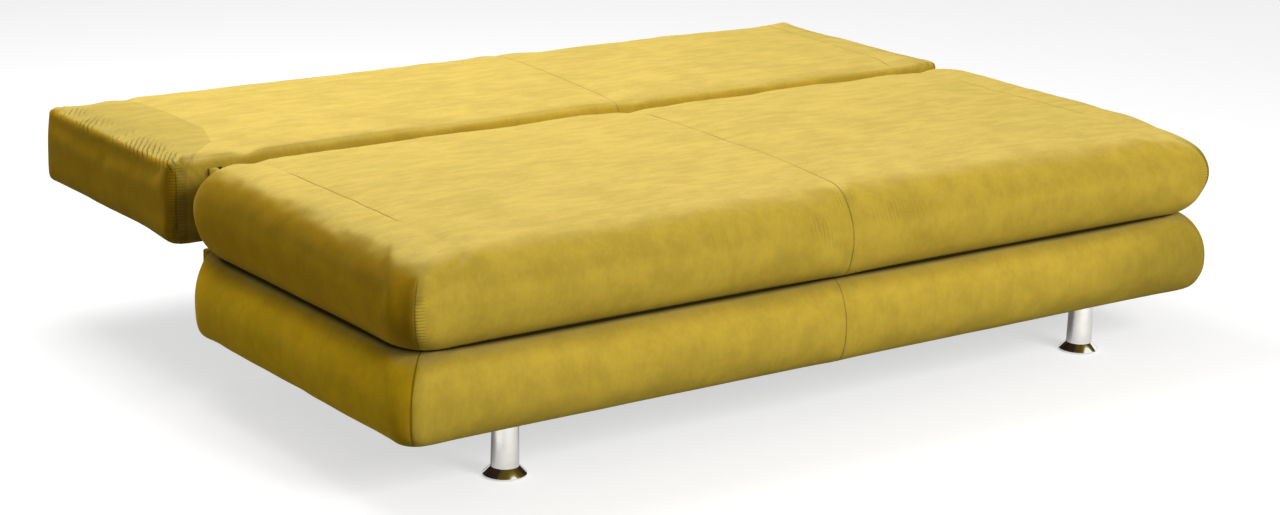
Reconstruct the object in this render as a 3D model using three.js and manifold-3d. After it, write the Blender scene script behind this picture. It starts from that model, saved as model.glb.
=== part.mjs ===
// Click clack sofa bed, laid flat as a bed.
// Millimetres, +X to the right seen from the front, +Y to the back, +Z up.
// While it is being built, y = 0 is the crease under the front edge of the seat pad, x = 0 is the
// middle of the bed and z = 0 is the floor. The last lines move the origin under the middle of the bed.

import * as THREE from 'three';
import { mergeVertices } from 'three/addons/utils/BufferGeometryUtils.js';
import Module from 'manifold-3d';

const wasm = await Module();
wasm.setup();

// Sizes of the whole bed
const bedLength = 2000;
const seatDepth = 765;
const backDepth = 593;
const backLength = 1994;
const floorClearance = 114;
const baseThickness = 168;
const seatThickness = 176;
const backThickness = 162;
const backRise = 6;
const padGap = 15;
const padBulge = 55;

// Clearances and helpers of the modelling itself
const gap = 0.3;
const runningGap = 0.5;
const overrun = 2;
const cornerSteps = 5;
const roundSteps = 20;
const boltSteps = 12;
const screwSteps = 8;
const flareSteps = 4;
const mergeTolerance = 0.0001;

// Form of the pads
const seatCorner = 55;
const seatRearCorner = 70;
const seatShoulder = 90;
const seatWaistShare = 0.5;
const seatCrown = 6;
const baseCorner = 50;
const baseRearCorner = 18;
const backCorner = 18;
const backEdge = 12;
const backCrown = 8;
const backSwell = 3;
const sideDrawIn = 4;
const smallestCorner = 12;
const frontCornerShare = 0.3;
const seatRearCornerShare = 0.6;
const sideSteps = 7;
const quarterSteps = 5;
const swellSteps = 4;
const crownShares = [0.12, 0.3, 0.55, 0.85];

// Bedding box
const boardThickness = 18;
const frontBoardInset = 20;
const endBoardInset = 25;
const rearBoardReach = 23;
const boxBottomRecess = 4;
const rearBoardDrop = 10;
const boxFloorThickness = 4;
const legRailThickness = 25;
const legRailWidth = 90;
const dividerDrop = 12;
const rearCoverThickness = 12;
const rearCoverCorner = 10;
const rearPostDepth = 12;

// Legs
const legInsetX = 228;
const legInsetFront = 57;
const legInsetRear = 65;
const legTopRadius = 24.5;
const legFootRadius = 26.5;
const flareRadius = 41;
const flareHeight = 19;
const rimHeight = 3.5;
const rimChamfer = 1.2;
const rimClearance = 1;
const glideRadius = 36;
const glideThickness = 3;
const studRadius = 5;
const studLength = 14;
const plateSize = 72;
const legPlateThickness = 3;
const screwHoleRadius = 2.75;
const screwHoleInset = 10;

// Seat and back frames
const railWidth = 25;
const railHeight = 40;
const padLip = 15;
const seatRearLip = 20;
const dustCoverThickness = 1.2;
const springWire = 3.6;
const springCount = 8;
const springEndClearance = 115;
const springBends = 7;
const springSwing = 24;
const springOverhang = 5;
const springStepsPerBend = 4;
const springSides = 4;
const tieWire = 3;
const tieShares = [0.34, 0.66];
const strapWidth = 50;
const strapThickness = 1.6;
const longStraps = 3;
const crossStraps = 7;

// Click clack fitting, seen along X. Bearings open from +Y towards +Z, in degrees.
const pivotBehindSeat = 6;
const pivotBelowTop = 49;
const steelThickness = 4;
const pinRadius = 5;
const pinHeadRadius = 8;
const pinHeadThickness = 2.4;
const slotMargin = 1.6;
const bracketHub = 20;
const bracketFootDepth = 86;
const bracketFootHeight = 104;
const bracketFootDrop = 20;
const bracketFootSetback = 13;
const bracketFootCorner = 12;
const bracketNeck = 18;
const bracketNeckSetback = 30;
const boltHeadRadius = 6.5;
const boltHeadThickness = 3;
const armHub = 18;
const armStrapRadius = 16;
const armStrapLength = 165;
const armStrapSetback = 20;
const backStrapRadius = 17;
const backStrapStart = 68;
const backStrapLength = 120;
const sectorRadius = 38;
const lockAngles = [0, 35, 70];
const sectorMargin = 18;
const pawlBearing = 255;
const pawlReach = 34;
const pawlWidth = 10;
const pawlLift = 9;
const pawlRimGap = 0.6;
const pawlBoss = 8;
const pawlPinRadius = 4;
const pawlPinHeadRadius = 6.5;
const pawlTail = 15;
const pawlTailRadius = 4;
const noseDepth = 4.6;
const noseWidth = 4;
const noseLead = 2.5;
const rampWidth = 4;
const tipOverhang = 2;
const notchClearance = 0.8;
const cheekBoss = 12;
const webWidth = 13;
const webThickness = 4;
const coilWire = 0.8;
const coilRadius = 1.9;
const coilTurns = 7;
const coilPitch = 1.7;
const coilStepsPerTurn = 8;
const coilSides = 5;

// Levels
const creaseZ = floorClearance + baseThickness;
const seatTopZ = creaseZ + seatThickness;
const seatUnderZ = creaseZ + gap / 2;
const baseTopZ = creaseZ - gap / 2;
const backUnderZ = creaseZ + backRise;
const backTopZ = backUnderZ + backThickness;
const boxBottomZ = floorClearance + boxBottomRecess;
const boxFloorZ = boxBottomZ + legRailThickness + gap;
const legPlateZ = boxBottomZ - gap - legPlateThickness;
const legTopZ = legPlateZ - gap;

// Places along Y
const seatRearY = seatDepth + padBulge;
const backFrontY = seatRearY + padGap;
const backRearY = backFrontY + backDepth;
const boxFrontY = frontBoardInset;
const boxRearY = seatDepth + rearBoardReach;
const boxInnerFrontY = boxFrontY + boardThickness + gap;
const boxInnerRearY = boxRearY - boardThickness - gap;
const rearCoverY = boxRearY + rearCoverThickness;
const rearPostY = boxRearY - rearPostDepth;
const seatFrameFrontY = padLip + gap;
const seatFrameRearY = seatDepth - seatRearLip - gap;
const backFrameFrontY = backFrontY + padLip + gap;
const backFrameRearY = backRearY - padLip - gap;
const legFrontY = legInsetFront;
const legRearY = seatDepth - legInsetRear;

// Places along X, on the right half
const creaseX = bedLength / 2 - padBulge;
const boxOuterX = creaseX - endBoardInset;
const boxInnerX = boxOuterX - boardThickness;
const bracketX = boxInnerX - gap - steelThickness;
const outerCheekX = bracketX - runningGap - steelThickness;
const sectorX = outerCheekX - runningGap - steelThickness;
const innerCheekX = sectorX - runningGap - steelThickness;
const pinInnerX = innerCheekX - gap - pinHeadThickness;
const pinOuterX = bracketX + steelThickness + gap + pinHeadThickness;
const slotInnerX = pinInnerX - slotMargin;
const slotOuterX = pinOuterX + slotMargin;
const seatRailOuterX = outerCheekX - gap;
const backRailOuterX = sectorX - gap;
const legX = creaseX - legInsetX;

// Pivot of the fitting and the pawl's pin
const pivot = new THREE.Vector2(seatRearY + pivotBehindSeat, seatTopZ - pivotBelowTop);
const foldRange = lockAngles[lockAngles.length - 1];

const finishes = {
  velvetTop: new THREE.MeshStandardMaterial({ color: 0xd0b63c, roughness: 0.85, metalness: 0 }),
  velvetSide: new THREE.MeshStandardMaterial({ color: 0xa88b1e, roughness: 0.85, metalness: 0 }),
  chrome: new THREE.MeshStandardMaterial({ color: 0xd8d9d6, roughness: 0.12, metalness: 1 }),
  blackSteel: new THREE.MeshStandardMaterial({ color: 0x2a2a2b, roughness: 0.5, metalness: 0.6 }),
  springSteel: new THREE.MeshStandardMaterial({ color: 0x4a4d50, roughness: 0.4, metalness: 1 }),
  timber: new THREE.MeshStandardMaterial({ color: 0xc9a878, roughness: 0.8, metalness: 0 }),
  board: new THREE.MeshStandardMaterial({ color: 0xb8966a, roughness: 0.85, metalness: 0 }),
  hardboard: new THREE.MeshStandardMaterial({ color: 0x8a6844, roughness: 0.8, metalness: 0 }),
  plastic: new THREE.MeshStandardMaterial({ color: 0x1c1c1c, roughness: 0.6, metalness: 0 }),
  dustCloth: new THREE.MeshStandardMaterial({ color: 0x262523, roughness: 0.95, metalness: 0 }),
  webbing: new THREE.MeshStandardMaterial({ color: 0xd9d2c0, roughness: 0.9, metalness: 0 }),
};

const radians = THREE.MathUtils.degToRad;

function toSolid(source) {
  const bare = source.clone();
  bare.deleteAttribute('normal');
  bare.deleteAttribute('uv');
  const merged = mergeVertices(bare, mergeTolerance);
  return new wasm.Manifold(new wasm.Mesh({
    numProp: 3,
    vertProperties: Float32Array.from(merged.attributes.position.array),
    triVerts: Uint32Array.from(merged.index.array),
  }));
}

function toGeometry(solid) {
  const mesh = solid.getMesh();
  const geometry = new THREE.BufferGeometry();
  geometry.setAttribute('position', new THREE.BufferAttribute(mesh.vertProperties, 3));
  geometry.setIndex(new THREE.BufferAttribute(mesh.triVerts, 1));
  geometry.computeVertexNormals();
  return geometry;
}

function join(first, ...others) {
  const sum = others.reduce((whole, next) => whole.add(toSolid(next)), toSolid(first));
  return toGeometry(sum);
}

function cut(body, ...tools) {
  const rest = tools.reduce((whole, tool) => whole.subtract(toSolid(tool)), toSolid(body));
  return toGeometry(rest);
}

// A box between two corners.
function block(x0, x1, y0, y1, z0, z1) {
  const geometry = new THREE.BoxGeometry(x1 - x0, y1 - y0, z1 - z0);
  geometry.translate((x0 + x1) / 2, (y0 + y1) / 2, (z0 + z1) / 2);
  return geometry;
}

// An outline drawn in plan, raised from z0 to z1.
function slab(shape, z0, z1) {
  const geometry = new THREE.ExtrudeGeometry(shape, { depth: z1 - z0, bevelEnabled: false });
  geometry.translate(0, 0, z0);
  return geometry;
}

// An outline drawn along Y and Z, cut from plate between two distances from the middle of the bed.
function plate(shape, side, x0, x1) {
  const geometry = new THREE.ExtrudeGeometry(shape, { depth: x1 - x0, bevelEnabled: false });
  const alongX = new THREE.Vector3(1, 0, 0);
  const alongY = new THREE.Vector3(0, 1, 0);
  const alongZ = new THREE.Vector3(0, 0, 1);
  geometry.applyMatrix4(new THREE.Matrix4().makeBasis(alongY, alongZ, alongX));
  geometry.translate(side > 0 ? x0 : -x1, 0, 0);
  return geometry;
}

// Points on a circle, a full turn in equal steps.
function circle(centre, radius, steps = roundSteps) {
  const points = [];
  for (let i = 0; i < steps; i++) {
    const angle = i / steps * Math.PI * 2;
    points.push(new THREE.Vector2(centre.x + radius * Math.cos(angle), centre.y + radius * Math.sin(angle)));
  }
  return points;
}

// Points along a part of a circle, in at least the given number of steps.
function arc(centre, radius, from, to, leastSteps = 2) {
  const steps = Math.max(leastSteps, Math.ceil(Math.abs(to - from) / (Math.PI * 2) * roundSteps));
  const points = [];
  for (let i = 0; i <= steps; i++) {
    const angle = from + (to - from) * i / steps;
    points.push(new THREE.Vector2(centre.x + radius * Math.cos(angle), centre.y + radius * Math.sin(angle)));
  }
  return points;
}

function disc(centre, radius) {
  return new THREE.Shape(circle(centre, radius));
}

// One side of the hull of points sorted along the first axis.
function hullSide(points) {
  const side = [];
  for (const point of points) {
    while (side.length > 1) {
      const last = side.at(-1);
      const run = last.clone().sub(side.at(-2));
      if (run.cross(point.clone().sub(last)) > 0) {
        break;
      }
      side.pop();
    }
    side.push(point);
  }
  return side.slice(0, -1);
}

// The outline of a flat link: a band stretched round bosses, each a centre and a radius.
function link(...bosses) {
  const points = bosses.flatMap(([centre, radius]) => circle(centre, radius));
  points.sort((a, b) => a.x - b.x || a.y - b.y);
  return new THREE.Shape([...hullSide(points), ...hullSide(points.reverse())]);
}

// The four corners of a rounded rectangle, each as an arc, anticlockwise from the front right.
function cornerArcs(x0, x1, y0, y1, radius) {
  const quarter = Math.PI / 2;
  const centres = [
    new THREE.Vector2(x1 - radius, y0 + radius), new THREE.Vector2(x1 - radius, y1 - radius),
    new THREE.Vector2(x0 + radius, y1 - radius), new THREE.Vector2(x0 + radius, y0 + radius),
  ];
  return centres.map((centre, i) => arc(centre, radius, quarter * (i - 1), quarter * i, cornerSteps));
}

function roundedRectangle(x0, x1, y0, y1, radius) {
  return new THREE.Shape(cornerArcs(x0, x1, y0, y1, radius).flat());
}

// A turned body from a profile of radius and height, standing along Z at (x, y).
function turned(profile, x, y) {
  const geometry = new THREE.LatheGeometry(profile, roundSteps);
  geometry.rotateX(Math.PI / 2);
  geometry.translate(x, y, 0);
  return geometry;
}

// A turned body lying along X, its profile's heights measured from the middle of the bed.
function turnedAcross(profile, side, centre) {
  const geometry = new THREE.LatheGeometry(profile, roundSteps);
  geometry.rotateZ(-Math.PI / 2);
  if (side < 0) {
    geometry.rotateY(Math.PI);
  }
  geometry.translate(0, centre.x, centre.y);
  return geometry;
}

function wire(curve, diameter, steps, sides) {
  const section = new THREE.Shape(circle(new THREE.Vector2(), diameter / 2, sides));
  return new THREE.ExtrudeGeometry(section, { steps, bevelEnabled: false, extrudePath: curve });
}

// The points of a side between two corners, drawn in towards the middle of the pad.
function drawnSide(start, end, inward) {
  const points = [];
  for (let i = 1; i < sideSteps; i++) {
    const share = i / sideSteps;
    const point = start.clone().lerp(end, share);
    points.push(point.addScaledVector(inward, sideDrawIn * Math.sin(Math.PI * share)));
  }
  return points;
}

const inwards = {
  right: new THREE.Vector2(-1, 0),
  rear: new THREE.Vector2(0, -1),
  left: new THREE.Vector2(1, 0),
  front: new THREE.Vector2(0, 1),
};

// A level outline of a pad: a rounded rectangle whose sides draw in between the corners.
function padOutline(reachX, frontY, rearY, frontRadius, rearRadius) {
  const [frontRight, , , frontLeft] = cornerArcs(-reachX, reachX, frontY, rearY, frontRadius);
  const [, rearRight, rearLeft] = cornerArcs(-reachX, reachX, frontY, rearY, rearRadius);
  return [
    ...frontRight, ...drawnSide(frontRight.at(-1), rearRight[0], inwards.right),
    ...rearRight, ...drawnSide(rearRight.at(-1), rearLeft[0], inwards.rear),
    ...rearLeft, ...drawnSide(rearLeft.at(-1), frontLeft[0], inwards.left),
    ...frontLeft, ...drawnSide(frontLeft.at(-1), frontRight[0], inwards.front),
  ];
}

// The outline of the roll round the front and both ends of the box, bulging by some offset.
function rollOutline(offset) {
  const endY = rearPostY - gap;
  const reach = creaseX + offset;
  const innerX = boxOuterX + gap;
  const innerY = boxFrontY - gap;
  const frontRadius = baseCorner + offset * frontCornerShare;
  const [frontRight, , , frontLeft] = cornerArcs(-reach, reach, -offset, endY, frontRadius);
  const [, rearRight, rearLeft] = cornerArcs(-reach, reach, -offset, endY, baseRearCorner + offset);
  return [
    ...frontRight, ...drawnSide(frontRight.at(-1), rearRight[0], inwards.right),
    ...rearRight,
    new THREE.Vector2(innerX, endY), new THREE.Vector2(innerX, innerY),
    new THREE.Vector2(-innerX, innerY), new THREE.Vector2(-innerX, endY),
    ...rearLeft, ...drawnSide(rearLeft.at(-1), frontLeft[0], inwards.left),
    ...frontLeft, ...drawnSide(frontLeft.at(-1), frontRight[0], inwards.front),
  ];
}

// The triangles of a flat outline, all turned the same way as the outline.
function capFaces(outline) {
  return THREE.ShapeUtils.triangulateShape(outline, []).map(([a, b, c]) => {
    const area = THREE.ShapeUtils.area([outline[a], outline[b], outline[c]]);
    return area > 0 ? [a, b, c] : [a, c, b];
  });
}

// A closed body through a stack of level outlines with the same number of points each.
function layered(levels) {
  const count = levels[0].outline.length;
  const positions = levels.flatMap(({ outline, z }) => outline.flatMap((point) => [point.x, point.y, z]));
  const faces = [];
  for (let level = 0; level + 1 < levels.length; level++) {
    for (let i = 0; i < count; i++) {
      const a = level * count + i;
      const b = level * count + (i + 1) % count;
      faces.push(a, b, b + count, a, b + count, a + count);
    }
  }
  const top = (levels.length - 1) * count;
  capFaces(levels[0].outline).forEach(([a, b, c]) => faces.push(a, c, b));
  capFaces(levels.at(-1).outline).forEach(([a, b, c]) => faces.push(top + a, top + b, top + c));
  const geometry = new THREE.BufferGeometry();
  geometry.setAttribute('position', new THREE.Float32BufferAttribute(positions, 3));
  geometry.setIndex(faces);
  return geometry;
}

// Seat pad: a pillow that swells out from its crease, rolls over at the shoulder and crowns on top.
function seatPillow() {
  const waistZ = seatUnderZ + (seatTopZ - seatUnderZ) * seatWaistShare;
  const level = (offset, z) => ({
    outline: padOutline(
      creaseX + offset, -offset, seatDepth + offset,
      Math.max(seatCorner + offset * frontCornerShare, smallestCorner),
      Math.max(seatRearCorner + offset * seatRearCornerShare, smallestCorner),
    ),
    z,
  });
  const levels = [];
  for (let i = 0; i < quarterSteps; i++) {
    const turn = Math.PI / 2 * (1 - i / quarterSteps);
    levels.push(level(padBulge * Math.cos(turn), waistZ - (waistZ - seatUnderZ) * Math.sin(turn)));
  }
  for (let i = 0; i <= quarterSteps; i++) {
    const turn = Math.PI / 2 * i / quarterSteps;
    const offset = padBulge - seatShoulder * (1 - Math.cos(turn));
    levels.push(level(offset, waistZ + (seatTopZ - waistZ) * Math.sin(turn)));
  }
  const edgeOffset = padBulge - seatShoulder;
  const halfDepth = seatDepth / 2 + edgeOffset;
  for (const share of crownShares) {
    const rise = seatCrown * (1 - (1 - share) ** 2);
    levels.push(level(edgeOffset - halfDepth * share, seatTopZ + rise));
  }
  return layered(levels);
}

// Back pad: boxed, with small rounded edges, swelling sides and a crown.
function backPillow() {
  const level = (offset, z) => {
    const radius = Math.max(backCorner + offset, smallestCorner);
    return {
      outline: padOutline(backLength / 2 + offset, backFrontY - offset, backRearY + offset, radius, radius),
      z,
    };
  };
  const levels = [];
  for (let i = 0; i < quarterSteps; i++) {
    const turn = Math.PI / 2 * (1 - i / quarterSteps);
    const offset = backEdge * (Math.cos(turn) - 1) - backSwell;
    levels.push(level(offset, backUnderZ + backEdge * (1 - Math.sin(turn))));
  }
  const lowZ = backUnderZ + backEdge;
  const highZ = backTopZ - backEdge;
  for (let i = 0; i <= swellSteps; i++) {
    const share = i / swellSteps;
    levels.push(level(-backSwell * (1 - Math.sin(Math.PI * share)), lowZ + (highZ - lowZ) * share));
  }
  for (let i = 1; i <= quarterSteps; i++) {
    const turn = Math.PI / 2 * i / quarterSteps;
    levels.push(level(backEdge * (Math.cos(turn) - 1) - backSwell, highZ + backEdge * Math.sin(turn)));
  }
  const halfDepth = backDepth / 2 - backEdge - backSwell;
  for (const share of crownShares) {
    const rise = backCrown * (1 - (1 - share) ** 2);
    levels.push(level(-backEdge - backSwell - halfDepth * share, backTopZ + rise));
  }
  return layered(levels);
}

// Base roll: half a pillow wrapped round the box, flat where it lies on the boards.
function baseRoll() {
  const middleZ = (floorClearance + baseTopZ) / 2;
  const halfHeight = (baseTopZ - floorClearance) / 2;
  const levels = [];
  for (let i = 0; i <= quarterSteps * 2; i++) {
    const turn = Math.PI / 2 * (i / quarterSteps - 1);
    levels.push({ outline: rollOutline(padBulge * Math.cos(turn)), z: middleZ + halfHeight * Math.sin(turn) });
  }
  return layered(levels);
}

// The end slots of the seat pad, round the fitting.
function seatSlot(side) {
  const roofZ = pivot.y + bracketHub + slotMargin;
  const frontY = seatArmRear().x - armStrapRadius - slotMargin;
  const tail = pawlTailPoint();
  const shape = new THREE.Shape([
    new THREE.Vector2(frontY, creaseZ - overrun),
    new THREE.Vector2(backFrontY, creaseZ - overrun),
    new THREE.Vector2(backFrontY, roofZ),
    new THREE.Vector2(pivot.x - sectorRadius - slotMargin, roofZ),
    new THREE.Vector2(tail.x - pawlTailRadius * 2, tail.y + pawlTailRadius * 3),
    new THREE.Vector2(frontY, seatPocketTop() + slotMargin),
  ]);
  return plate(shape, side, slotInnerX, slotOuterX);
}

// The end slots of the back pad, round the fitting and its swing.
function backSlot(side) {
  const roofZ = pivot.y + bracketHub + slotMargin;
  const hubY = pivot.x + bracketHub + slotMargin;
  const strapY = pivot.x + backStrapStart + backStrapRadius;
  const shape = new THREE.Shape([
    new THREE.Vector2(backFrontY - overrun, backUnderZ - overrun),
    new THREE.Vector2(strapY, backUnderZ - overrun),
    new THREE.Vector2(strapY, backPocketTop() + backStrapRadius),
    new THREE.Vector2(hubY, roofZ),
    new THREE.Vector2(backFrontY - overrun, roofZ),
  ]);
  return plate(shape, side, slotInnerX, slotOuterX);
}

function seatPocketTop() {
  return seatUnderZ + railHeight + gap + springWire + gap;
}

function backRailZ() {
  return backUnderZ + dustCoverThickness + gap * 2;
}

function backPocketTop() {
  return backRailZ() + railHeight + gap + strapThickness + gap;
}

function seatCushion() {
  const pocket = block(
    -slotOuterX, slotOuterX, seatFrameFrontY - gap, seatFrameRearY + gap, creaseZ - overrun, seatPocketTop(),
  );
  return cut(seatPillow(), pocket, seatSlot(1), seatSlot(-1));
}

function backCushion() {
  const reach = sectorX + steelThickness + slotMargin;
  const pocket = block(
    -reach, reach, backFrameFrontY - gap, backFrameRearY + gap, backUnderZ - overrun, backPocketTop(),
  );
  return cut(backPillow(), pocket, backSlot(1), backSlot(-1));
}

// Padded cover of the rear board, with a post at each end that the roll stops against.
function rearCover() {
  const innerX = boxOuterX + gap;
  const innerY = boxRearY + gap;
  const rounded = cornerArcs(-creaseX, creaseX, rearPostY, rearCoverY, rearCoverCorner).slice(1, 3).flat();
  const posts = new THREE.Shape([
    new THREE.Vector2(-creaseX, rearPostY), new THREE.Vector2(-innerX, rearPostY),
    new THREE.Vector2(-innerX, innerY), new THREE.Vector2(innerX, innerY),
    new THREE.Vector2(innerX, rearPostY), new THREE.Vector2(creaseX, rearPostY),
    ...rounded,
  ]);
  return slab(posts, floorClearance, baseTopZ);
}

function legProfile() {
  const flare = new THREE.QuadraticBezierCurve(
    new THREE.Vector2(flareRadius, rimClearance + rimHeight),
    new THREE.Vector2(legFootRadius + rimHeight, flareHeight - rimHeight),
    new THREE.Vector2(legFootRadius, flareHeight),
  );
  return [
    new THREE.Vector2(0, glideThickness + gap),
    new THREE.Vector2(glideRadius + gap, glideThickness + gap),
    new THREE.Vector2(glideRadius + gap, rimClearance),
    new THREE.Vector2(flareRadius - rimChamfer, rimClearance),
    new THREE.Vector2(flareRadius, rimClearance + rimChamfer),
    ...flare.getPoints(flareSteps),
    new THREE.Vector2(legTopRadius, legTopZ),
    new THREE.Vector2(studRadius, legTopZ),
    new THREE.Vector2(studRadius, legTopZ + studLength),
    new THREE.Vector2(0, legTopZ + studLength),
  ];
}

function glideProfile() {
  return [
    new THREE.Vector2(0, 0),
    new THREE.Vector2(glideRadius, 0),
    new THREE.Vector2(glideRadius, glideThickness),
    new THREE.Vector2(0, glideThickness),
  ];
}

function addHole(shape, x, y, radius, steps) {
  shape.holes.push(new THREE.Path(circle(new THREE.Vector2(x, y), radius, steps)));
}

function legPlate(x, y) {
  const half = plateSize / 2;
  const inset = half - screwHoleInset;
  const shape = new THREE.Shape([
    new THREE.Vector2(x - half, y - half), new THREE.Vector2(x + half, y - half),
    new THREE.Vector2(x + half, y + half), new THREE.Vector2(x - half, y + half),
  ]);
  addHole(shape, x, y, studRadius + gap, boltSteps);
  for (const signX of [-1, 1]) {
    for (const signY of [-1, 1]) {
      addHole(shape, x + signX * inset, y + signY * inset, screwHoleRadius, screwSteps);
    }
  }
  return slab(shape, legPlateZ, legPlateZ + legPlateThickness);
}

function legRail(x) {
  const half = legRailWidth / 2;
  const shape = new THREE.Shape([
    new THREE.Vector2(x - half, boxInnerFrontY), new THREE.Vector2(x + half, boxInnerFrontY),
    new THREE.Vector2(x + half, boxInnerRearY), new THREE.Vector2(x - half, boxInnerRearY),
  ]);
  addHole(shape, x, legFrontY, studRadius + gap, boltSteps);
  addHole(shape, x, legRearY, studRadius + gap, boltSteps);
  return slab(shape, boxBottomZ, boxBottomZ + legRailThickness);
}

// A frame of five rails: two long ones between the end rails, and one in the middle.
function frameRails(outerX, frontY, rearY, z0) {
  const innerX = outerX - railWidth;
  const longX = innerX - gap;
  const z1 = z0 + railHeight;
  return {
    front: block(-longX, longX, frontY, frontY + railWidth, z0, z1),
    rear: block(-longX, longX, rearY - railWidth, rearY, z0, z1),
    left: block(-outerX, -innerX, frontY, rearY, z0, z1),
    right: block(innerX, outerX, frontY, rearY, z0, z1),
    middle: block(-railWidth / 2, railWidth / 2, frontY + railWidth + gap, rearY - railWidth - gap, z0, z1),
  };
}

// Sinuous spring: a wire that swings from side to side, its bends overhanging a little.
class SinuousPath extends THREE.Curve {
  constructor(x, frontY, rearY, z) {
    super();
    this.x = x;
    this.frontY = frontY;
    this.rearY = rearY;
    this.z = z;
  }

  getPoint(t, target = new THREE.Vector3()) {
    const phase = Math.PI * springBends * t;
    const along = this.frontY + (this.rearY - this.frontY) * t - springOverhang * Math.sin(phase * 2);
    return target.set(this.x + springSwing * Math.sin(phase), along, this.z);
  }
}

// Seat springs: the sinuous wires lie on the front and rear rails and are tied across.
function seatSprings() {
  const z = seatUnderZ + railHeight + gap + springWire / 2;
  const frontY = seatFrameFrontY + railWidth / 2;
  const rearY = seatFrameRearY - railWidth / 2;
  const lastX = seatRailOuterX - railWidth - springEndClearance;
  const pieces = [];
  for (let i = 0; i < springCount; i++) {
    const x = lastX * (2 * i / (springCount - 1) - 1);
    const path = new SinuousPath(x, frontY, rearY, z);
    pieces.push(wire(path, springWire, springBends * springStepsPerBend, springSides));
  }
  const reach = lastX + springSwing;
  for (const share of tieShares) {
    const y = frontY + (rearY - frontY) * share;
    const tie = new THREE.LineCurve3(new THREE.Vector3(-reach, y, z), new THREE.Vector3(reach, y, z));
    pieces.push(wire(tie, tieWire, 1, springSides));
  }
  return join(...pieces);
}

// Elastic webbing of the back: straps in both directions, stapled on top of the rails.
function backWebbing() {
  const z0 = backRailZ() + railHeight + gap;
  const z1 = z0 + strapThickness;
  const reachX = backRailOuterX - railWidth / 4;
  const frontY = backFrameFrontY + railWidth / 4;
  const rearY = backFrameRearY - railWidth / 4;
  const pieces = [];
  for (let i = 1; i <= longStraps; i++) {
    const y = frontY + (rearY - frontY) * i / (longStraps + 1);
    pieces.push(block(-reachX, reachX, y - strapWidth / 2, y + strapWidth / 2, z0, z1));
  }
  for (let i = 1; i <= crossStraps; i++) {
    const x = reachX * (2 * i / (crossStraps + 1) - 1);
    pieces.push(block(x - strapWidth / 2, x + strapWidth / 2, frontY, rearY, z0, z1));
  }
  return join(...pieces);
}

// A point of the ratchet: out from the pivot along a bearing, and sideways from there.
function ratchetPoint(sideways, outwards, bearing) {
  const angle = radians(bearing);
  return new THREE.Vector2(
    pivot.x + outwards * Math.cos(angle) - sideways * Math.sin(angle),
    pivot.y + outwards * Math.sin(angle) + sideways * Math.cos(angle),
  );
}

const pawlCentreLine = sectorRadius + pawlRimGap + pawlWidth / 2;
const pawlPivot = ratchetPoint(-pawlReach, pawlCentreLine, pawlBearing);

function turnAbout(geometry, centre, degrees) {
  geometry.translate(0, -centre.x, -centre.y);
  geometry.rotateX(radians(degrees));
  geometry.translate(0, centre.x, centre.y);
  return geometry;
}

function turnedPoint(point, centre, degrees) {
  return point.clone().rotateAround(centre, radians(degrees));
}

// Notched sector of the back arm: one notch for each position of the back.
function notch(lockAngle, side) {
  const bearing = pawlBearing - lockAngle;
  const c = notchClearance;
  const floorRadius = sectorRadius - noseDepth - c;
  const mouthRadius = sectorRadius + overrun;
  const shape = new THREE.Shape([
    ratchetPoint(noseLead - noseWidth - c, floorRadius, bearing),
    ratchetPoint(noseLead + c, floorRadius, bearing),
    ratchetPoint(noseLead + tipOverhang + c, mouthRadius, bearing),
    ratchetPoint(noseLead - noseWidth - rampWidth - c * 2, mouthRadius, bearing),
  ]);
  return plate(shape, side, sectorX - overrun, sectorX + steelThickness + overrun);
}

function backArm(side) {
  const nearEnd = new THREE.Vector2(pivot.x + backStrapStart, backRailZ() + railHeight / 2);
  const farEnd = new THREE.Vector2(nearEnd.x + backStrapLength, nearEnd.y);
  const x1 = sectorX + steelThickness;
  const from = radians(pawlBearing - foldRange - sectorMargin);
  const to = radians(pawlBearing + sectorMargin);
  const wedge = new THREE.Shape([pivot, ...arc(pivot, sectorRadius, from, to)]);
  const whole = join(
    plate(wedge, side, sectorX, x1),
    plate(link([pivot, bracketHub], [nearEnd, backStrapRadius]), side, sectorX, x1),
    plate(link([nearEnd, backStrapRadius], [farEnd, backStrapRadius]), side, sectorX, x1),
  );
  const bore = plate(disc(pivot, pinRadius + gap), side, sectorX - overrun, x1 + overrun);
  return cut(whole, bore, ...lockAngles.map((angle) => notch(angle, side)));
}

// The rear end of the strap that is screwed to the seat's end rail.
function seatArmRear() {
  return new THREE.Vector2(seatFrameRearY - armStrapSetback, seatUnderZ + railHeight / 2);
}

// The web that joins the two cheeks of the seat arm and holds the lower end of the pawl's spring.
function springAnchor() {
  const tail = turnedPoint(pawlTailPoint(), pawlPivot, -pawlLift);
  const drop = pawlTailRadius + coilLength() + gap * 2 + webThickness / 2;
  const angle = radians(pawlBearing);
  return new THREE.Vector2(tail.x + drop * Math.cos(angle), tail.y + drop * Math.sin(angle));
}

function pawlTailPoint() {
  return ratchetPoint(-pawlReach - pawlTail, pawlCentreLine, pawlBearing);
}

function coilLength() {
  return coilTurns * coilPitch + coilWire * 4;
}

function armWeb(side) {
  const centre = springAnchor();
  const along = radians(pawlBearing);
  const outX = Math.cos(along);
  const outZ = Math.sin(along);
  const corner = (sideways, outwards) => new THREE.Vector2(
    centre.x + outwards * outX - sideways * outZ,
    centre.y + outwards * outZ + sideways * outX,
  );
  const shape = new THREE.Shape([
    corner(-webWidth / 2, -webThickness / 2),
    corner(webWidth / 2, -webThickness / 2),
    corner(webWidth / 2, webThickness / 2),
    corner(-webWidth / 2, webThickness / 2),
  ]);
  return plate(shape, side, innerCheekX + steelThickness / 2, outerCheekX + steelThickness / 2);
}

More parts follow.
